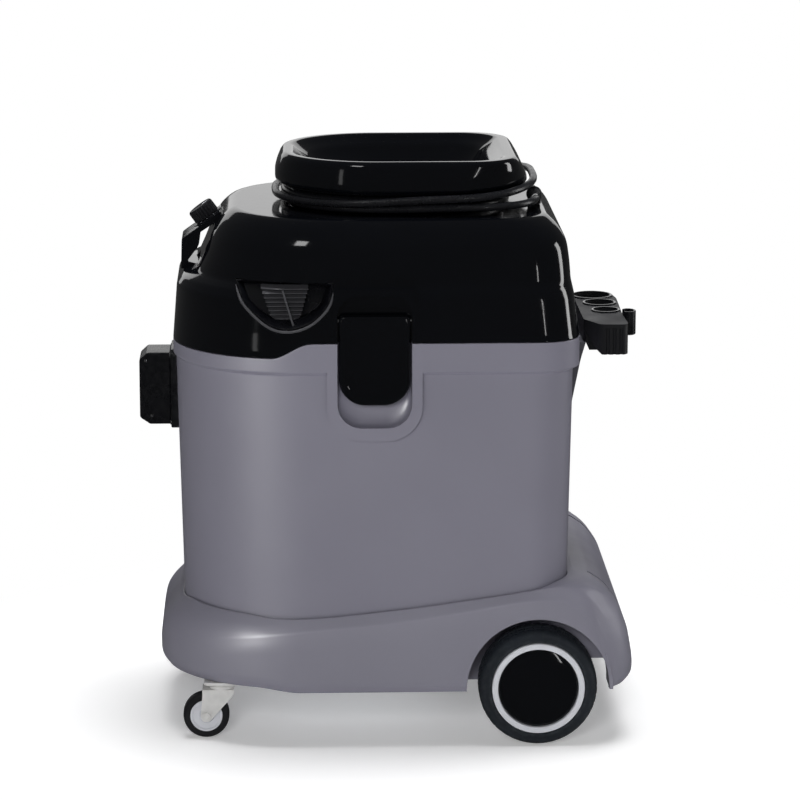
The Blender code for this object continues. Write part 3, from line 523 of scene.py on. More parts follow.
TANK_GREY = surface("tank_grey", (0.192, 0.186, 0.234), 0.44, vary=(0.03, 5), grain=(0.035, 1100),
    wave=(0.05, 16))
BASE_GREY = surface("trolley_grey", (0.195, 0.190, 0.234), 0.42, vary=(0.035, 6), grain=(0.035, 1100),
    wave=(0.05, 16))
GLOSS = surface("gloss_black", (0.0014, 0.0017, 0.0026), 0.085, vary=(0.15, 7), rough_vary=0.03,
    grain=(0.004, 700), wave=(0.05, 38), coat=(0.25, 0.05))
SATIN = surface("satin_black", (0.0026, 0.0028, 0.0040), 0.27, rough_vary=0.06,
    grain=(0.012, 1300), wear=((0.03, 0.03, 0.033), 0.35))
DULL = surface("dull_black", (0.0085, 0.0088, 0.0105), 0.48, rough_vary=0.08)
# Black plastic painted a lighter grey: the colour is a painted highlight standing in for the glints on the
# vent slats, rib and bead.
GLINT_PAINTED_BLACK = surface("black_painted_glint_grey", (0.060, 0.060, 0.066), 0.24,
    grain=(0.01, 1300))
DARK_GREY = surface("dark_grey", (0.085, 0.085, 0.105), 0.45, vary=(0.06, 9),
    wear=((0.16, 0.16, 0.18), 0.4))
TYRE = surface("tyre_rubber", (0.0125, 0.0165, 0.0225), 0.62, vary=(0.16, 22), rough_vary=0.1,
    grain=(0.05, 900), wear=((0.05, 0.055, 0.062), 0.5))
TREAD = surface("caster_tread", (0.012, 0.012, 0.014), 0.55, vary=(0.15, 40), grain=(0.03, 1500))
WHITE_RING = surface("ring_white", (0.60, 0.61, 0.65), 0.36, vary=(0.03, 9), grain=(0.012, 1500))
ZINC = surface("zinc_steel", (0.78, 0.775, 0.76), 0.42, metallic=0.25, vary=(0.09, 60), rough_vary=0.09,
    grain=(0.01, 1800), wave=(0.02, 120))
STEEL = surface("turned_steel", (0.52, 0.52, 0.53), 0.26, metallic=1, vary=(0.08, 80), rough_vary=0.08,
    grain=(0.008, 1500))
BRASS = surface("brass", (0.60, 0.42, 0.17), 0.28, metallic=1, vary=(0.1, 90), rough_vary=0.1,
    grain=(0.006, 1400))
MILKY = surface("milky_plastic", (0.60, 0.62, 0.65), 0.42, vary=(0.04, 9), grain=(0.03, 900),
    wave=(0.15, 25))
MOTOR = surface("motor_metal", (0.42, 0.42, 0.44), 0.38, metallic=1, vary=(0.08, 50), rough_vary=0.08,
    grain=(0.01, 1500))
FOAM = surface("foam", (0.045, 0.045, 0.05), 0.95, vary=(0.3, 260), grain=(0.9, 420))
SEAL = surface("seal_rubber", (0.016, 0.016, 0.018), 0.7, vary=(0.15, 30), grain=(0.03, 1000), sheen=0.05)
CORD = surface("cord_sheath", (0.0085, 0.0088, 0.0105), 0.30, vary=(0.15, 60), rough_vary=0.08,
    grain=(0.02, 900), wave=(0.05, 130))
FLOAT = surface("float_plastic", (0.75, 0.30, 0.08), 0.42, vary=(0.06, 9), grain=(0.02, 900))


# ------------ set, light and camera

def area(name, where, aim, width, height, watts, glossy=True, diffuse=True):
    light = bpy.data.lights.new(name, "AREA")
    light.shape = "RECTANGLE"
    light.size = width
    light.size_y = height
    light.energy = watts
    obj = added(name, light)
    obj.location = where
    obj.rotation_euler = (Vector(aim) - Vector(where)).to_track_quat("-Z", "Y").to_euler()
    obj.visible_glossy = glossy
    obj.visible_diffuse = diffuse
    obj.visible_camera = False
    return obj


def white_glow(name):
    mat, nodes, link = new_material(name)
    nodes.clear()
    out = nodes.new("ShaderNodeOutputMaterial")
    glow = nodes.new("ShaderNodeEmission")
    put(glow, {"Color": (1, 1, 1, 1), "Strength": 1})
    link(glow.outputs[0], out.inputs["Surface"])
    return mat


def floor_material():
    """White paper lit by the lamps near the machine, running out into an evenly white surround."""
    mat, nodes, link = new_material("paper_floor")
    shader = nodes["Principled BSDF"]
    put(shader, {"Base Color": (0.9, 0.9, 0.905, 1), "Roughness": 0.9, "Emission Color": (1, 1, 1, 1),
        "Emission Strength": 0.24})
    glow = nodes.new("ShaderNodeEmission")
    put(glow, {"Strength": 1})
    place = nodes.new("ShaderNodeTexCoord")
    length = nodes.new("ShaderNodeVectorMath")
    length.operation = "LENGTH"
    ramp = nodes.new("ShaderNodeMapRange")
    ramp.interpolation_type = "SMOOTHSTEP"
    put(ramp, {"From Min": 0.34, "From Max": 0.62})
    mix = nodes.new("ShaderNodeMixShader")
    link(place.outputs["Object"], length.inputs[0])
    link(length.outputs["Value"], ramp.inputs["Value"])
    link(ramp.outputs["Result"], mix.inputs["Fac"])
    link(shader.outputs[0], mix.inputs[1])
    link(glow.outputs[0], mix.inputs[2])
    link(mix.outputs[0], nodes["Material Output"].inputs["Surface"])
    return mat


def studio():
    bm = bmesh.new()
    bmesh.ops.create_circle(bm, cap_ends=True, segments=96, radius=9)
    floor = from_bmesh("floor", bm)
    floor.location = (0, 0, -0.0005)
    floor.data.materials.append(floor_material())
    floor.visible_glossy = False
    bm = bmesh.new()
    bmesh.ops.create_uvsphere(bm, u_segments=48, v_segments=24, radius=9.5)
    surround = from_bmesh("surround", bm)
    surround.data.materials.append(white_glow("surround_white"))
    surround.visible_glossy = False
    surround.visible_diffuse = False
    surround.visible_shadow = False
    surround.visible_transmission = False

    world = bpy.data.worlds.new("studio")
    world.use_nodes = True
    put(world.node_tree.nodes["Background"], {"Color": (1, 1, 1, 1), "Strength": 0.05})
    bpy.context.scene.world = world

    area("key", (-0.6, -3.35, 1.5), (0, 0, 0.3), 0.8, 0.8, 46, glossy=False)
    area("top_fill", (0.1, 0.25, 2.6), (0, 0, 0.3), 1.6, 1.4, 76, glossy=False)
    area("rear_fill", (2.6, 0.7, 1.5), (0, 0, 0.3), 1.2, 1.2, 14, glossy=False)
    area("back_card", (0, 3.5, 1.3), (0, 0, 0.4), 4, 1.3, 14, diffuse=False)
    area("top_glint", (-0.75, -1.5, 2.3), (0, 0, 0.55), 0.42, 0.42, 3.4, diffuse=False)
    area("right_glint", (1.2, -2.8, 0.9), (0.15, -0.1, 0.45), 0.10, 1.3, 3, diffuse=False)
    area("left_glint", (-1.9, -2.3, 0.9), (-0.1, 0, 0.4), 0.2, 1, 0.6, diffuse=False)
    area("side_glint", (2.4, 0.3, 0.9), (0.2, 0, 0.4), 0.5, 1.6, 12, diffuse=False)


def camera():
    cam = bpy.data.cameras.new("camera")
    cam.lens = 157.5
    cam.sensor_width = 36
    cam.clip_end = 60
    obj = added("camera", cam)
    obj.location = (-0.1164, -3.798, 1.169)
    obj.rotation_euler = (math.radians(77.7), 0, math.radians(-2))
    bpy.context.scene.camera = obj


bpy.context.scene.view_settings.view_transform = "Standard"
studio()
camera()


# ------------ cord

LEAD = ((157, -67, 577), (156.2, -77, 576.8), (152.5, -87, 576.5), (145.8, -97, 576.2), (137, -105.5, 576),
    (126.5, -112.5, 576), (114, -117.8, 576), (100, -121.3, 576), (85, -123, 576))
DROP_END = (70, 192, 536)
# the loose outer turn, from the far rear corner round the rear, near side and front back to the far side
LOOSE = ((72, 122, 581.5), (96, 115, 583), (119, 105, 586), (139, 88.5, 589.5), (151, 64, 592.5),
    (156.5, 38, 594.5), (157, 15, 595.5), (157, -5, 595.5), (157, -25, 595.3), (155, -52, 594.5),
    (147.5, -77, 592.5), (133, -99, 590), (112, -115.5, 588), (87, -124.5, 586.3), (60, -126.5, 585.5),
    (30, -125.5, 584.5), (0, -123.5, 582.5), (-36, -120, 580.5), (-66.6, -108.6, 579.5),
    (-93.6, -89.6, 579), (-112, -65.2, 579), (-122.5, -36.3, 579), (-124, -11, 579), (-124, 12, 579),
    (-122.4, 37.4, 579), (-111.8, 65.3, 579), (-93.4, 89.6, 578.6), (-67.2, 108.8, 578),
    (-36.4, 119.8, 577.5), (-8, 121.8, 577))
TURN_POINTS = 60
FIRST_POINT = 5
CORD_STEP = 5
LAYERS = (36.2, 28.2, 20.3, 12.5, 4.7)


def turn_point(u, offset, z):
    """Point at the fraction u of a turn round the neck, from the middle of the near side to the front."""
    loop = NECK_LOOP
    n = len(loop)
    f = (u % 1) * n
    i = int(f)
    a, b = loop[i % n], loop[(i + 1) % n]
    t = f - i
    p = a[0].lerp(b[0], t)
    m = a[1].lerp(b[1], t).normalized()
    return p.x + m.x * offset, p.y + m.y * offset, z


def neck_loop():
    """Evenly spaced (point, outward normal) round the neck, from (70, near side) towards the front."""
    ring = [Vector((p[0], p[1])) for p in plan(*NECK, 0, *NECK_ENDS)]
    start = min(range(len(ring)), key=lambda i: (ring[i] - Vector((60, -76))).length)
    ring = ring[start:] + ring[:start]
    ring.append(ring[0])
    out = spread(ring, 360)
    normals = []
    for j, p in enumerate(out):
        t = out[(j + 4) % 360] - out[j - 4]
        normals.append(Vector((-t.y, t.x)).normalized())
    if (out[0] + normals[0] * 10).length < out[0].length:
        normals = [-m for m in normals]
    return list(zip(out, normals))


def smooth_line(pts, passes):
    for _ in range(passes):
        pts = [pts[0]] + [(a + b * 2 + c) / 4 for a, b, c in zip(pts, pts[1:], pts[2:])] + [pts[-1]]
    return pts


def cord_points():
    """Gland, turns inwards below and outwards above, one loose turn, then down the far side to the plug."""
    points = list(LEAD)
    low, high = 572.2, 580.6
    spans = [(o, low) for o in LAYERS] + [(o, high) for o in reversed(LAYERS)]
    total = len(spans)
    for k in range(FIRST_POINT, total * TURN_POINTS):
        f = k / TURN_POINTS
        i = int(f)
        t = step01((f - i - 0.86) / 0.14)
        a = spans[i]
        b = spans[min(i + 1, total - 1)]
        offset = a[0] + (b[0] - a[0]) * t
        z = a[1] + (b[1] - a[1]) * t
        wobble = 0.5 * math.sin(f * 5.1 + i) + 0.35 * math.sin(f * 11.7)
        point = turn_point(f, offset + 0.4 * math.sin(f * 7.3), z + wobble)
        if i == total - 1 and point[1] > 90 and point[0] > 15:
            break
        points.append(point)
    points += LOOSE
    swing = ((14, 121.8, 577), (64, 121.8, 579.5), (70, 192, 584), DROP_END)
    for k in range(17):
        t = k / 16
        weights = ((1 - t) ** 3, 3 * t * (1 - t) ** 2, 3 * t * t * (1 - t), t ** 3)
        points.append(tuple(sum(w * p[i] for w, p in zip(weights, swing)) for i in range(3)))
    line = through(points, 4)
    even = spread(line, int(length(line) / CORD_STEP)) + [line[-1]]
    return smooth_line(even, 10)


NECK_LOOP = neck_loop()


def power_cord():
    route = [(p + Vector((SHIFT, 0, 0))) * MM for p in cord_points()]
    curve = bpy.data.curves.new("power_cord", "CURVE")
    curve.dimensions = "3D"
    curve.bevel_depth = CORD_D / 2 * MM
    curve.bevel_resolution = 4
    curve.use_fill_caps = True
    curve.resolution_u = 2
    spline = curve.splines.new("POLY")
    spline.points.add(len(route) - 1)
    for point, p in zip(spline.points, route):
        point.co = (*p, 1)
    spline.use_smooth = True
    cable = added("power_cord", curve)
    plug = cord_plug()
    strain_relief()
    piece(cable, "power_cord", "head", CORD, ("cord_winding", "cord_lead", "cord_tail"))
    round(length(route), 3)


def cord_plug():
    """Moulded two-pin plug, pins down, with a ribbed neck."""
    x, y, top = DROP_END[0], DROP_END[1], DROP_END[2] - 1.2
    sections = ((top - 40, 16.6, 8.2, 5), (top - 39, 18.2, 9.8, 6), (top - 36, 19, 10.5, 7),
        (top - 22, 18.6, 10.2, 7), (top - 13, 16, 9, 7), (top - 9, 11.5, 8.2, 7), (top - 7, 8.6, 7.6, 7))
    loops = [[(x + u, y + v, z) for u, v in rounded(-a, a, -b, b, min(r, a - 0.2, b - 0.2))]
        for z, a, b, r in sections]
    body = skin("body", loops)
    shade(body, 40)
    rings = [(4.6, -9), (9, -9)]
    for k in range(4):
        z = -8 + 2 * k
        r = 8.4 - 0.75 * k
        rings += [(r, z), (r, z + 1.1), (r - 0.9, z + 1.25), (r - 0.9, z + 1.9)]
    rings += [(4.9, 0), (4.6, 0)]
    neck = turned("neck", rings, (x, y, top), "Z", 32)
    grips = [bent("grip", [(x - 11 + 2.2 * j, y + s * 9.7, top - 32 + 4 * k) for j in range(11)], 0.8, 8)
        for s in (-1, 1) for k in range(4)]
    plug = gather("plug", body, neck, *grips)
    piece(shade(plug, 35), "plug_body", "head", DULL, "cord_plug")
    profile = [(0, top - 58), (1.5, top - 58), (2.4, top - 56.6), (2.4, top - 38), (0, top - 38)]
    pins = [turned("pin", profile, (x + 9.5 * s, y, 0), "Z", 24) for s in (-1, 1)]
    pin = gather("plug_pins", *pins)
    piece(shade(pin), "plug_pins", "head", BRASS)
    pin.parent = plug
    return plug


def strain_relief():
    """Tapered, slotted sleeve where the cord leaves the neck, on its foot."""
    profile = [(4.2, 0), (8.5, 0), (8.5, 5.5), (7.6, 6.6)]
    for k in range(6):
        d = 7.6 + 3.1 * k
        r = 7.3 - 0.38 * k
        profile += [(r, d), (r - 0.1, d + 1.9), (r - 1, d + 2.1), (r - 1.05, d + 2.9)]
    profile += [(5, 26.4), (4.2, 27)]
    sleeve = turned("sleeve", profile, (157, -39, 577.5), "Y", 40)
    foot = soften(box("foot", (150, 164), (-46, -34.5), (567.4, 572)), 0.8)
    relief = gather("cord_relief", sleeve, foot)
    piece(shade(relief, 35), "cord_relief", "head", DULL, "cord_gland")


power_cord()


# ------------ tank

def pocket_loop(y, half, floor, r, top):
    """Upright loop at y round the latch, with two round lower corners."""
    x0, x1 = LATCH_X - half, LATCH_X + half
    low = arc(x0 + r, floor + r, r, 180, 90, 14) + arc(x1 - r, floor + r, r, 270, 90, 14)
    return [(x, y, z) for x, z in low + [(x1, top), (x0, top)]]


def inset(p, d):
    return p[0] + d, p[1] - d, p[2] - d


def tank():
    w = TANK_WALL
    rim, under, foot = TANK_RIM, TANK_UNDER_RIM, TANK_FOOT
    rows = [(*inset(foot, 6), tank_floor, 0), (*foot, shifted(tank_floor, 6), 4), (*under, 408, 1.6),
        (*rim, 411.2, 1.6), (*rim, shifted(seam, -SEAM_GAP), 0.8),
        (*inset(rim, w), shifted(seam, -SEAM_GAP), 0.8), (*inset(rim, w), 416, 1),
        (*inset(under, w), 412, 1), (*inset(foot, w), shifted(tank_floor, 12), 6),
        (*inset(foot, w + 8), shifted(tank_floor, w), 0)]
    obj = loft("tank", rows)
    top = 443 - SEAM_GAP
    for s in (-1, 1):
        boss = skin("boss", [pocket_loop(s * 169, 50.5, 337, 38, top),
            pocket_loop(s * 190, 50.5, 337, 38, top)])
        join(obj, boss)
    for s in (-1, 1):
        shape = ((200, 39.5, 351, 26), (187.5, 39.5, 351, 26), (183, 39.2, 352.2, 26),
            (179.5, 38.6, 355, 25.6), (176.6, 37.4, 360.5, 25.2), (174.9, 35.6, 367.5, 24.4),
            (174.5, 34, 373, 23.6))
        cut(obj, skin("pocket", [pocket_loop(s * y, half, floor, r, 463) for y, half, floor, r in shape]))
    cut(obj, prism("bore", circle(0, 361, 19), -250, -215, "X"))
    soften(obj, 1.5, 4, 28)
    piece(obj, "tank_shell", "chassis", TANK_GREY, "recovery_tank")


tank()


# ------------ trolley

def trolley():
    rows = [(-247, 252.5, 188, skirt, 150, 134, 50, 0),
        (-253, 259.5, 194, shifted(skirt, 9), 152, 136, 54, 6),
        (-253.5, 260.5, 195, shifted(crease, -14), 152, 136, 54, 8),
        (-251, 259, 193, crease, 150, 134, 52, 2.2), (-249, 255, 190.95, between(0.25), 148, 134, 51, 7),
        (-243.5, 246, 188.65, between(0.53), 145, 133, 50, 8),
        (-236, 231, 186.7, between(0.77), 142, 132, 48, 8),
        (-232.5, 213, 185.9, between(0.87), 140, 131, 47, 5), (-229, 196, 184.8, junction, 138, 131, 46, 0)]
    obj = loft("trolley", rows)
    deck = shifted(tank_floor, -5.3)
    hollow = [(-242, 247, 184, shifted(skirt, -4), 148, 132, 46, 0),
        (-249, 256, 190, shifted(skirt, 12), 148, 132, 50, 3),
        (-248.5, 254, 189.5, shifted(crease, -10), 148, 131, 50, 3),
        (-237, 238, 184, shifted(between(0.5), -9), 142, 129, 46, 6),
        (-225, 208, 178, deck, 134, 126, 42, 0)]
    cut(obj, loft("hollow", hollow, steps=2))
    foot = TANK_FOOT
    g = 0.6
    seat = [(*inset(foot, 6 - g), shifted(tank_floor, -0.3), 0),
        (*inset(foot, -g), shifted(tank_floor, 6), 2),
        (foot[0] - 3.5, foot[1] + 3.5, foot[2] + 2.6, shifted(tank_floor, 60), 0)]
    cut(obj, loft("seat", seat, steps=3))

    def arch(r, low):
        return [(WHEEL_X + r, low)] + arc(WHEEL_X, WHEEL_Z, r, 0, 180, 40) + [(WHEEL_X - r, low)]
    for s in (-1, 1):
        join(obj, prism("liner", arch(81, 61), s * 144, s * 189))
    for s in (-1, 1):
        cut(obj, prism("arch", arch(77, 40), s * 148, s * 210))
        cut(obj, box("way", (WHEEL_X + 30, WHEEL_X + 85), sorted((s * 140, s * 149)), (50, 84)))
    cut(obj, prism("axle", circle(WHEEL_X, WHEEL_Z, 6.3, 24), -160, 160))
    for s in (-1, 1):
        join(obj, prism("pad", circle(CASTER_X, s * CASTER_Y, 13, 32), 64, 121, "Z"))
        slot = round_corners([(212, 190), (212, 169.5), (228, 159), (241, 141), (249, 127), (262, 127),
            (262, 190)], 3)
        cut(obj, prism("slot", slot, s * 125 - 2.5, s * 125 + 2.5))
    soften(obj, 1.3, 3, 33)
    piece(obj, "trolley_shell", "chassis", BASE_GREY, "trolley_base")


trolley()


# ------------ head

def shield(inset_by):
    points = [(-167, 505), (-160, 486), (-150, 474), (-138, 464), (-127, 458), (-116, 456), (-104, 457),
        (-90, 462), (-78, 471), (-68, 484), (-63, 505)]
    cx, cz = -115, 485
    k = 1 - inset_by / 28
    base = [Vector((cx + (x - cx) * (1 - inset_by / 52), cz + (z - cz) * k)) for x, z in points]
    return [tuple(p) for p in through(base, 5)]


def head():
    rows = [(*TANK_RIM, seam, 0.8), (-235.5, 197.5, 187.5, shifted(seam, 7), 3),
        (-234.5, 196, 185, shifted(seam, 20), 6), (-231.5, 193.5, 182.5, 486, 3),
        (-225, 191.5, 179.5, 495, 3), (-209, 190, 175, 502, 126, 122, 4),
        (-201, 189, 171, 520, 122, 119, 12), (-192, 186, 164, 543, 116, 114, 12),
        (-182, 176, 153, 558, 108, 106, 9), (-170, 165, 142, HEAD_TOP, 100, 98, 6),
        (*NECK, HEAD_TOP, *NECK_ENDS, 3), (*NECK, NECK_TOP, *NECK_ENDS, 0.5),
        (*inset(NECK, 3), NECK_TOP, *NECK_ENDS, 0.5), (*inset(NECK, 3), HEAD_TOP - 3, *NECK_ENDS, 3),
        (-168, 163, 140, HEAD_TOP - 3, 99, 97, 6), (-188, 182, 160, 540, 114, 112, 6),
        (-205, 186, 171, 501, 124, 120, 3), (-226, 189, 178.5, 485, 3),
        (-231, 192.5, 181.5, shifted(seam, 19), 3), (-232, 194, 184, shifted(seam, 6), 2),
        (*inset(TANK_RIM, TANK_WALL), seam, 0.6)]
    obj = loft("head", rows, ring=True)
    outer = BVHTree.FromObject(obj, bpy.context.evaluated_depsgraph_get())
    for s in (-1, 1):
        join(obj, box("back", (LATCH_X - 43.5, LATCH_X + 43.5), sorted((s * 169, s * 186)), (443, 500)))
    for s in (-1, 1):
        outline = round_corners([(LATCH_X + u, z) for u, z in ((-39.5, 430), (39.5, 430), (39.5, 478),
            (27.5, 492), (-27.5, 492), (-39.5, 478))], [0, 0, 7, 7, 7, 7])
        cut(obj, prism("pocket", outline, s * 174.5, s * 200))
        cut(obj, prism("vent", shield(0), s * 130, s * 200))
    cut(obj, box("console_foot", (-240, -203.6), (-26.3, 26.3), (494.4, 507)),
        box("console_top", (-199, -183.8), (-26.3, 26.3), (540.5, 566)))
    soften(obj, 1.4, 4, 36)
    piece(obj, "head_shell", "head", GLOSS, "head_cover")
    return outer


HEAD_SKIN = head()


def on_head(x, z, s, out=0):
    """Point of the head's side surface at x, z, moved outwards."""
    hit, normal, _, _ = HEAD_SKIN.ray_cast(Vector(((x + SHIFT) * MM, s * 0.4, z * MM)), Vector((0, -s, 0)))
    if hit is None:
        return Vector((x, s * 160, z)), Vector((0, s, 0))
    if normal.y * s < 0:
        normal = -normal
    return hit / MM - Vector((SHIFT, 0, 0)) + normal * out, normal


def vent(side, s):
    """Recessed side vent: raised bead round its foot, sunk funnel, ten slats and a leaning rib."""
    rim = [on_head(x, z, s, 0.2)[0] for x, z in shield(-1.6) if z < 500]
    bead = bent("bead", rim, 1.55, 10, ends=(0.3, 0.7, 0.9))
    # the bead's lighter grey is a painted highlight on black plastic
    piece(shade(bead, 60), f"vent_bead_{side}", "head", GLINT_PAINTED_BLACK)

    def out_to(x, z):
        return abs(on_head(x, min(z, 500.5), s)[0].y)
    bm = bmesh.new()
    stages = ((0.6, 0.4, 200), (1.2, 1.6, 200), (5, 9.5, 200), (7, 12.5, 200), (7, 14, 160.5))
    rows = [[bm.verts.new((x, s * min(most, out_to(x, z) - deep), z)) for x, z in shield(inset_by)]
        for inset_by, deep, most in stages]
    for a, b in zip(rows, rows[1:]):
        band(bm, a, b)
    bm.faces.new(rows[-1])
    funnel = solid("funnel", bm)
    thick = funnel.modifiers.new("wall", "SOLIDIFY")
    thick.thickness = 1.6 * MM
    thick.offset = -1
    bake(funnel)
    piece(shade(funnel), f"vent_funnel_{side}", "head", SATIN, f"vent_grille_{side}")
    slats = []
    for k in range(10):
        z = 497.5 - 4.55 * k
        half = 25 - 1.05 * k
        x0, x1 = -115 - half + 0.5 * k, -115 + half - 0.2 * k
        loops = []
        for j in range(11):
            x = x0 + (x1 - x0) * j / 10
            y = out_to(x, z)
            base = min(162, y - 11.5)
            lip = min(base + 7.5, y - 2.6)
            rise = (lip - base) * 0.42
            loops.append([(x, s * base, z + rise + 0.7), (x, s * lip, z + 0.55), (x, s * (lip + 0.35), z),
                (x, s * lip, z - 0.55), (x, s * base, z + rise - 0.7)])
        slats.append(skin("slat", loops))
    rib = []
    for j in range(9):
        z = 496.5 - 36 * j / 8
        x = -117 + 11 * j / 8
        y = out_to(x, z) - 3
        rib.append([(x - 1.3, s * (y - 9), z), (x + 1.3, s * (y - 9), z), (x + 1, s * y, z),
            (x - 1, s * y, z)])
    slats.append(skin("rib", rib))
    # the slats' and rib's lighter grey is a painted highlight on black plastic
    piece(shade(gather("grille", *slats), 25), f"vent_slats_{side}", "head", GLINT_PAINTED_BLACK)


for each in SIDES:
    vent(*each)


def top_ring():
    rows = [(-117, 140, 118, NECK_TOP + 0.3, 108, 100, 80, 80, 0),
        (-124, 149, 123, 593, 112, 104, 84, 84, 4), (-124.5, 148.5, 123, 600, 112, 104, 80, 80, 6),
        (-122, 144, 122, 610, 110, 100, 66, 66, 7), (-117.5, 138, 119.5, 620, 104, 94, 52, 52, 4),
        (-113.5, 134, 116, RING_TOP, 100, 90, 46, 46, 2.5), (-106, 122, 108, RING_TOP, 94, 86, 42, 42, 3),
        (-100, 115, 103, 618, 92, 84, 40, 40, 4), (-93, 107, 97, 613, 88, 80, 38, 38, 4),
        (-88, 102, 92, 604, 84, 76, 36, 36, 5), (-80, 95, 84, 593, 80, 72, 34, 34, 0)]
    obj = loft("ring", rows)
    piece(shade(obj, 40), "grip_ring", "head", GLOSS, "top_ring")


top_ring()


KNOB_TILT = Matrix.Rotation(-math.atan2(21.4, 29.8), 4, "Y")
KNOB_AT = (-198.6, 0, 547.9)


def on_knob(u, v, h):
    return KNOB_TILT @ Vector((u, v, h)) + Vector(KNOB_AT)


def console():
    side = round_corners([(-227.6, 495), (-226.6, 527.5), (-222, 531), (-184.2, 557.5), (-184.2, 549),
        (-206.8, 534.5), (-207.2, 521), (-221, 503), (-204, 499), (-204, 495)],
        [0.5, 2, 4, 1, 1, 3, 5, 3, 0.5, 0.5], 4)
    obj = prism("console", side, -26, 26)
    soften(obj, 1.6, 4)
    piece(obj, "console_housing", "head", GLOSS, "control_console")
    collar = turned("collar", [(3.4, -0.6), (18.2, -0.6), (18.2, 0.1), (17.6, 0.5), (3.4, 0.5)], KNOB_AT,
        KNOB_TILT, 56)
    piece(shade(collar), "knob_collar", "head", SATIN)
    ticks = []
    for k in range(9):
        a = math.radians(-120 + 30 * k)
        c, d = math.cos(a), math.sin(a)
        ticks.append(skin("tick", [[on_knob(c * r - d * w, d * r + c * w, h)
            for r, w in ((16.1, -0.3), (17.3, -0.3), (17.3, 0.3), (16.1, 0.3))] for h in (0.5, 0.62)]))
    piece(gather("marks", *ticks), "knob_marks", "head", WHITE_RING)


def knob():
    profile = [(0, 0.9), (13.8, 0.9), (14.6, 1.5), (14.7, 3), (14.6, 12.4), (14.1, 14.2), (13, 15.1),
        (11.6, 15.2), (10.6, 14.6), (0, 14.4)]

    def ribs(k, i, r, d):
        if 2 <= i <= 5:
            phase = (k % 6) / 6
            return r - 1.15 * (0.5 + 0.5 * math.cos(2 * math.pi * phase)) ** 2, d
        return r, d
    obj = turned("knob", profile, KNOB_AT, KNOB_TILT, 144, ribs)
    shade(obj, 42)
    pointer = skin("pointer", [[on_knob(r, w, h) for r, w in ((3.5, -0.55), (10.2, -0.55), (10.2, 0.55),
        (3.5, 0.55))] for h in (14.35, 15.15)])
    piece(obj, "knob_grip", "knob", DULL, "control_knob")
    piece(pointer, "knob_pointer", "knob", WHITE_RING)


console()
knob()


def latch(side, s):
    """Pull latch: round-cornered plate with rolled edges, a shallow panel and a finger lip."""
    def outline(grow, low, high, r):
        x0, x1 = LATCH_X - LATCH_HALF + grow, LATCH_X + LATCH_HALF - grow
        return (arc(x0 + r, low + r, r, 180, 90, 12) + arc(x1 - r, low + r, r, 270, 90, 12)
            + arc(x1 - 5, high - 5, 5, 0, 90, 4) + arc(x0 + 5, high - 5, 5, 90, 90, 4))
    stages = ((178.5, 1, 376, 470.5, 27), (178.9, 0.2, 375.2, 471.3, 28), (180, 0, 375, 471.5, 28),
        (185.4, 0, 375, 471.5, 28), (187.4, 0.7, 375.7, 470.9, 27.4), (188.6, 2, 377, 469.5, 26),
        (189, 4, 379, 467.5, 24), (189, 7, 382.5, 464, 21.5), (188.7, 8, 383.6, 462.9, 20.6),
        (188.3, 9.4, 385.4, 461.3, 19.6))
    loops = [[(x, s * y, z) for x, z in outline(grow, low, high, r)] for y, grow, low, high, r in stages]
    obj = skin("latch", loops)
    piece(shade(obj, 50), f"latch_plate_{side}", f"latch_{side}", GLOSS,
        f"latch_{side}")


for each in SIDES:
    latch(*each)


# ------------ wheels

def wheel(side, s):
    c = (WHEEL_X, 0, WHEEL_Z)

    def facing(points):
        return [(r, -s * (WHEEL_INNER + d)) for r, d in points]
    face = [(50.3, 3), (52, 0.8), (58.5, 0), (61.2, 1.2), (63, 4), (63.8, 8), (63.9, 10.4), (62.6, 10.8),
        (62.6, 12.8), (64, 13.2), (64, 19.6), (62.7, 20), (62.7, 22), (64, 22.4), (64, 28.8), (62.6, 29.2),
        (62.6, 31.2), (63.9, 31.6), (63.7, 34), (62.8, 37), (61.4, 39.4), (59.6, 40.9), (57, 41.7),
        (55.6, 41.5), (54.9, 41.8), (52.6, 42), (50.9, 41.1), (50.3, 39)]

    def blocks(k, i, r, d):
        if r > 62.9 and k % 6 == 0 and i not in (9, 10, 11, 12):
            return r - 1, d
        return r, d
    tyre = turned("tyre", facing(face), c, "Y", 252, blocks)
    piece(shade(tyre, 34), f"tyre_{side}", f"wheel_{side}", TYRE, f"rear_tyre_{side}")
    rim = [(6.3, 2), (13, 2), (13.6, 2.6), (14, 13), (15, 14), (44, 14), (45, 13), (46, 5), (49.8, 5),
        (50, 6), (50, 40.6), (49.7, 41.8), (48.8, 42.45), (47, 42.5), (44.6, 42.2), (43.7, 41.8),
        (43.4, 41), (43.4, 29), (12, 22), (6.3, 22)]
    rim = turned("rim", facing(rim), c, "Y", 120)
    piece(shade(rim), f"wheel_ring_{side}", f"wheel_{side}", WHITE_RING,
        f"rear_rim_{side}")
    cap = [(0, 31), (43.1, 31), (43.1, 38.1), (42.7, 38.8), (41.6, 39.25), (38, 40.25), (34, 41.1),
        (28, 42.15), (20, 43.15), (12, 43.65), (6, 43.85), (0, 43.9)]
    cap = turned("cap", facing(cap), c, "Y", 120)
    piece(shade(cap), f"hub_dome_{side}", f"wheel_{side}", GLOSS, f"hub_cap_{side}")


for each in SIDES:
    wheel(*each)


def both_ways(half):
    """Profile closed by its own mirror image."""
    return half + [(r, -d) for r, d in reversed(half)]


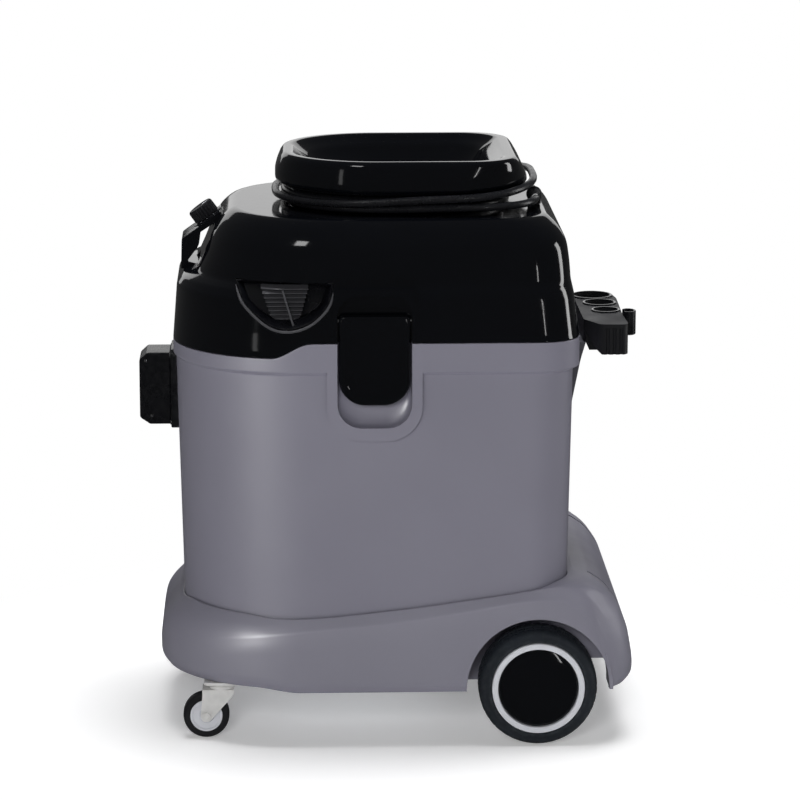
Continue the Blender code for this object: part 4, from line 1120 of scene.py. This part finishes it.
def caster(side, s):
    x, y, ax = CASTER_X, s * CASTER_Y, CASTER_AXLE_X
    race = turned("race", [(3.9, 54.8), (12.8, 54.8), (13.8, 55.4), (14, 56.4), (13.6, 57.6), (12.4, 58.7),
        (11.4, 59.3), (11.2, 60.2), (3.9, 60.2)], (x, y, 0), "Z", 48)
    pin = turned("king", [(0, 50.8), (4.6, 50.8), (5.4, 51.6), (5.4, 52.8), (3.7, 54), (3.7, 62.6),
        (3, 63.2), (0, 63.4)], (x, y, 0), "Z", 32)
    crown = skin("crown", [[(u, v, z) for u, v in round_corners([(x - 21, y - 12.6), (x + 13, y - 12.6),
        (x + 13, y + 12.6), (x - 21, y + 12.6)], 3)] for z in (52.9, 54.9)])
    cheeks = []
    for t in (-1, 1):
        outline = round_corners([(ax - 6.2, 24), (ax - 3.5, 19.3), (ax + 3.5, 19.3), (ax + 7.5, 24),
            (x + 13, 49.5), (x + 13, 54.9), (x - 21, 54.9), (x - 21, 49.5)], [4, 4, 4, 5, 6, 1, 1, 6])
        cheek = prism("cheek", outline, *sorted((y + t * 10.7, y + t * 12.6)))
        cut(cheek, prism("hole", circle(ax, 25, 3.1, 24), y - 20, y + 20))
        cheeks.append(cheek)
    fork = join(cheeks[0], crown, cheeks[1])
    soften(fork, 0.6, 2)
    shade(race)
    shade(pin)
    fork = gather("fork", fork, race, pin)
    piece(fork, f"fork_{side}", f"swivel_{side}", ZINC, f"caster_fork_{side}")
    bolt = turned("bolt", [(0, -15.4), (3.4, -15.4), (4.6, -14.6), (4.9, -13.4), (4.9, -12.9), (2.7, -12.9),
        (2.7, 12.9), (5, 12.9), (5, 15), (3, 15.2), (2.6, 15.5), (0, 15.5)], (ax, y, 25), "Y", 24)
    piece(shade(bolt), f"axle_bolt_{side}", f"swivel_{side}", ZINC, f"caster_axle_{side}")
    tread = both_ways([(17.6, -8.6), (18.6, -9), (22.4, -9), (23.9, -7.9), (24.8, -6), (25, -4)])
    tyre = turned("tread", tread, (ax, y, 25), "Y", 72)
    piece(shade(tyre), f"caster_tyre_{side}", f"caster_wheel_{side}", TREAD,
        f"caster_wheel_{side}")
    hub = both_ways([(3.2, -9.7), (6.4, -9.7), (7, -8.8), (8.4, -7.4), (14.5, -7.4), (15.4, -8.4),
        (17.4, -8.7)])
    hub = turned("hub", hub, (ax, y, 25), "Y", 48)
    piece(shade(hub), f"caster_hub_{side}", f"caster_wheel_{side}", WHITE_RING)


for each in SIDES:
    caster(*each)


# ------------ inlet

def screw(centre, axis, r=2.6, tall=1.3):
    """Domed screw head, pointing along an axis matrix."""
    profile = [(0, 0), (r, 0), (r, tall * 0.4), (r * 0.86, tall * 0.8), (r * 0.5, tall), (0, tall)]
    return turned("screw", profile, centre, axis, 28)


def inlet():
    flange = prism("flange", rounded(-33, 33, 317, 405, 7), -240.5, -225, "X")
    cut(flange, prism("slope", [(-234, 406.5), (-231, 316), (-200, 316), (-200, 406.5)], -40, 40))
    cut(flange, prism("b", circle(0, 361, 19), -250, -225, "X"))
    soften(flange, 1.3, 3)
    piece(flange, "inlet_plate", "chassis", SATIN, "inlet_flange")
    side = round_corners([(-240.8, 320.5), (-264, 320.5), (-275, 328), (-275, 393), (-266.5, 400.7),
        (-240.8, 400.7)], [0, 1.5, 2.5, 2.5, 1.5, 0], 4)
    body = prism("housing", side, -24, 24)
    cut(body, prism("b", circle(0, 361, 19), -268, -235, "X"),
        prism("c", circle(0, 361, 22.3), -285, -262, "X"))
    soften(body, 1.5, 4)
    piece(body, "inlet_box", "chassis", SATIN, "inlet_housing")
    ring = turned("socket", [(18.5, 0), (18.8, -0.2), (21.6, -0.2), (22, 0.2), (22, 11.5), (18.5, 11.5),
        (18.5, 9.2), (19.3, 8.8), (19.3, 7.6), (18.5, 7.2), (18.5, 4.6), (19.3, 4.2), (19.3, 3),
        (18.5, 2.6)], (-274.3, 0, 361), "X", 72)
    piece(shade(ring), "socket_ring", "chassis", DULL, "hose_socket")
    turn_out = Matrix.Rotation(math.radians(-90), 4, "Y")
    screws = [screw((-240.5, y, z), turn_out) for y in (-28.5, 28.5) for z in (323.5, 398.5)]
    screws += [screw((x, -24, z), TURNS["Y"], 1.7, 0.9) for x, z in ((-262, 330), (-268, 392))]
    piece(shade(gather("screws", *screws)), "inlet_screws", "chassis", STEEL)
    coupling = turned("coupling", [(0, 0), (9, 0), (9, -3), (6.5, -3), (6.5, -4), (7.4, -4.4), (7.4, -8.4),
        (6.5, -8.8), (6.5, -9), (8.5, -9.3), (8.7, -11), (8.7, -15.4), (8.3, -17), (5, -17), (5, -20),
        (4.4, -20.4), (3, -20.4), (3, -8), (0, -8)], (-241, 34.4, 340), "X", 40)
    piece(shade(coupling), "solution_connector", "chassis", BRASS, "solution_coupling")


inlet()


# ------------ tool holder

def holder():
    outline = round_corners([(208, -92), (224, -124), (250, -124), (254, -118), (252.5, -70), (255, 30),
        (251, 60), (236, 73), (220, 73), (208, 60)], [3, 6, 4, 3, 2, 8, 8, 8, 6, 4], 5)
    obj = prism("holder", outline, 415.5, 448.6, "Z")
    cut(obj, box("f", (196, 214), (-130, 80), (400, 424.4)))
    cut(obj, prism("corner", round_corners([(200, 440), (208, 440), (213, 431), (219, 421), (226, 415),
        (200, 410)], [0, 0, 6, 6, 0, 0]), -140, -97))
    holes = ((229, 46, 20), (233.5, 1.5, 15.8), (236.5, -42, 13))
    for x, y, r in holes:
        cut(obj, prism("h", circle(x, y, r), 400, 460, "Z"))
    flutes = [(224.5 + 7.2 * k, -124.6, 2) for k in range(4)] + [(254.6, -108 + 11 * k, 2.4)
        for k in range(3)]
    for x, y, r in flutes:
        cut(obj, prism("flute", circle(x, y, r, 20), 410, 444.5, "Z"))
    cut(obj, prism("under", round_corners([(226, 405), (247, 405), (247, 421), (226, 421)], 3), -118, -66))
    soften(obj, 1.2, 3)
    piece(obj, "holder_tray", "chassis", DULL, "tool_holder")
    rims = []
    for x, y, r in holes:
        lip = [(r + 0.05, 447.6), (r + 3.2, 447.6), (r + 3.1, 449.2), (r + 2.4, 449.9), (r + 0.9, 449.9),
            (r + 0.1, 449.2)]
        rims.append(turned("rim", lip, (x, y, 0), "Z", 64))
    piece(shade(gather("rims", *rims)), "holder_rims", "chassis", GLOSS)
    outside = [(259.6 + 8.2 * c, -60 + 11 * d) for c, d in arc(0, 0, 1, -140, 280, 40)]
    inside = [(259.6 + 5.8 * c, -60 + 8 * d) for c, d in arc(0, 0, 1, 140, -280, 40)]
    clip = prism("clip", outside + inside, 426, 452, "Z")
    soften(clip, 0.7, 3, 50)
    piece(clip, "hose_clip", "chassis", SATIN, "holder_clip")
    side = round_corners([(199.9, 424), (199.9, 410.4), (193.4, 406.9), (192.3, 342), (194.2, 350),
        (205, 405), (210.5, 424)], [0, 1, 1, 0, 1, 4, 0], 3)
    bracket = prism("bracket", side, -96, 56)
    soften(bracket, 0.5, 2, 50)
    piece(bracket, "holder_strut", "chassis", DARK_GREY, "holder_bracket")


holder()


# ------------ CAD nodes that stay, with their materials

KEPT = (
    (STEEL, "rear_axle axle_washer_left axle_washer_right latch_pin_left latch_pin_right motor_rotor"),
    (ZINC, "caster_plate_left caster_plate_right"), (MILKY, "solution_tank float_cage"),
    (DULL, "inlet_deflector solution_pump head_base motor_baffle"), (SEAL, "tank_gasket"),
    (MOTOR, "vacuum_motor"), (FOAM, "exhaust_foam"), (FLOAT, "float_ball"))
for look, names in KEPT:
    for node_name in names.split():
        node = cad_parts[node_name]
        node.data.materials.clear()
        node.data.materials.append(look)


def sheen():
    """Broad soft highlight that only the grey mouldings catch."""
    light = area("sheen", (-2.3, -3, 1.1), (-0.1, 0, 0.3), 0.6, 1.4, 200, diffuse=False)
    group = bpy.data.collections.new("grey_mouldings")
    for name in ("tank_shell", "trolley_shell"):
        group.objects.link(bpy.data.objects[name])
    light.light_linking.receiver_collection = group


sheen()
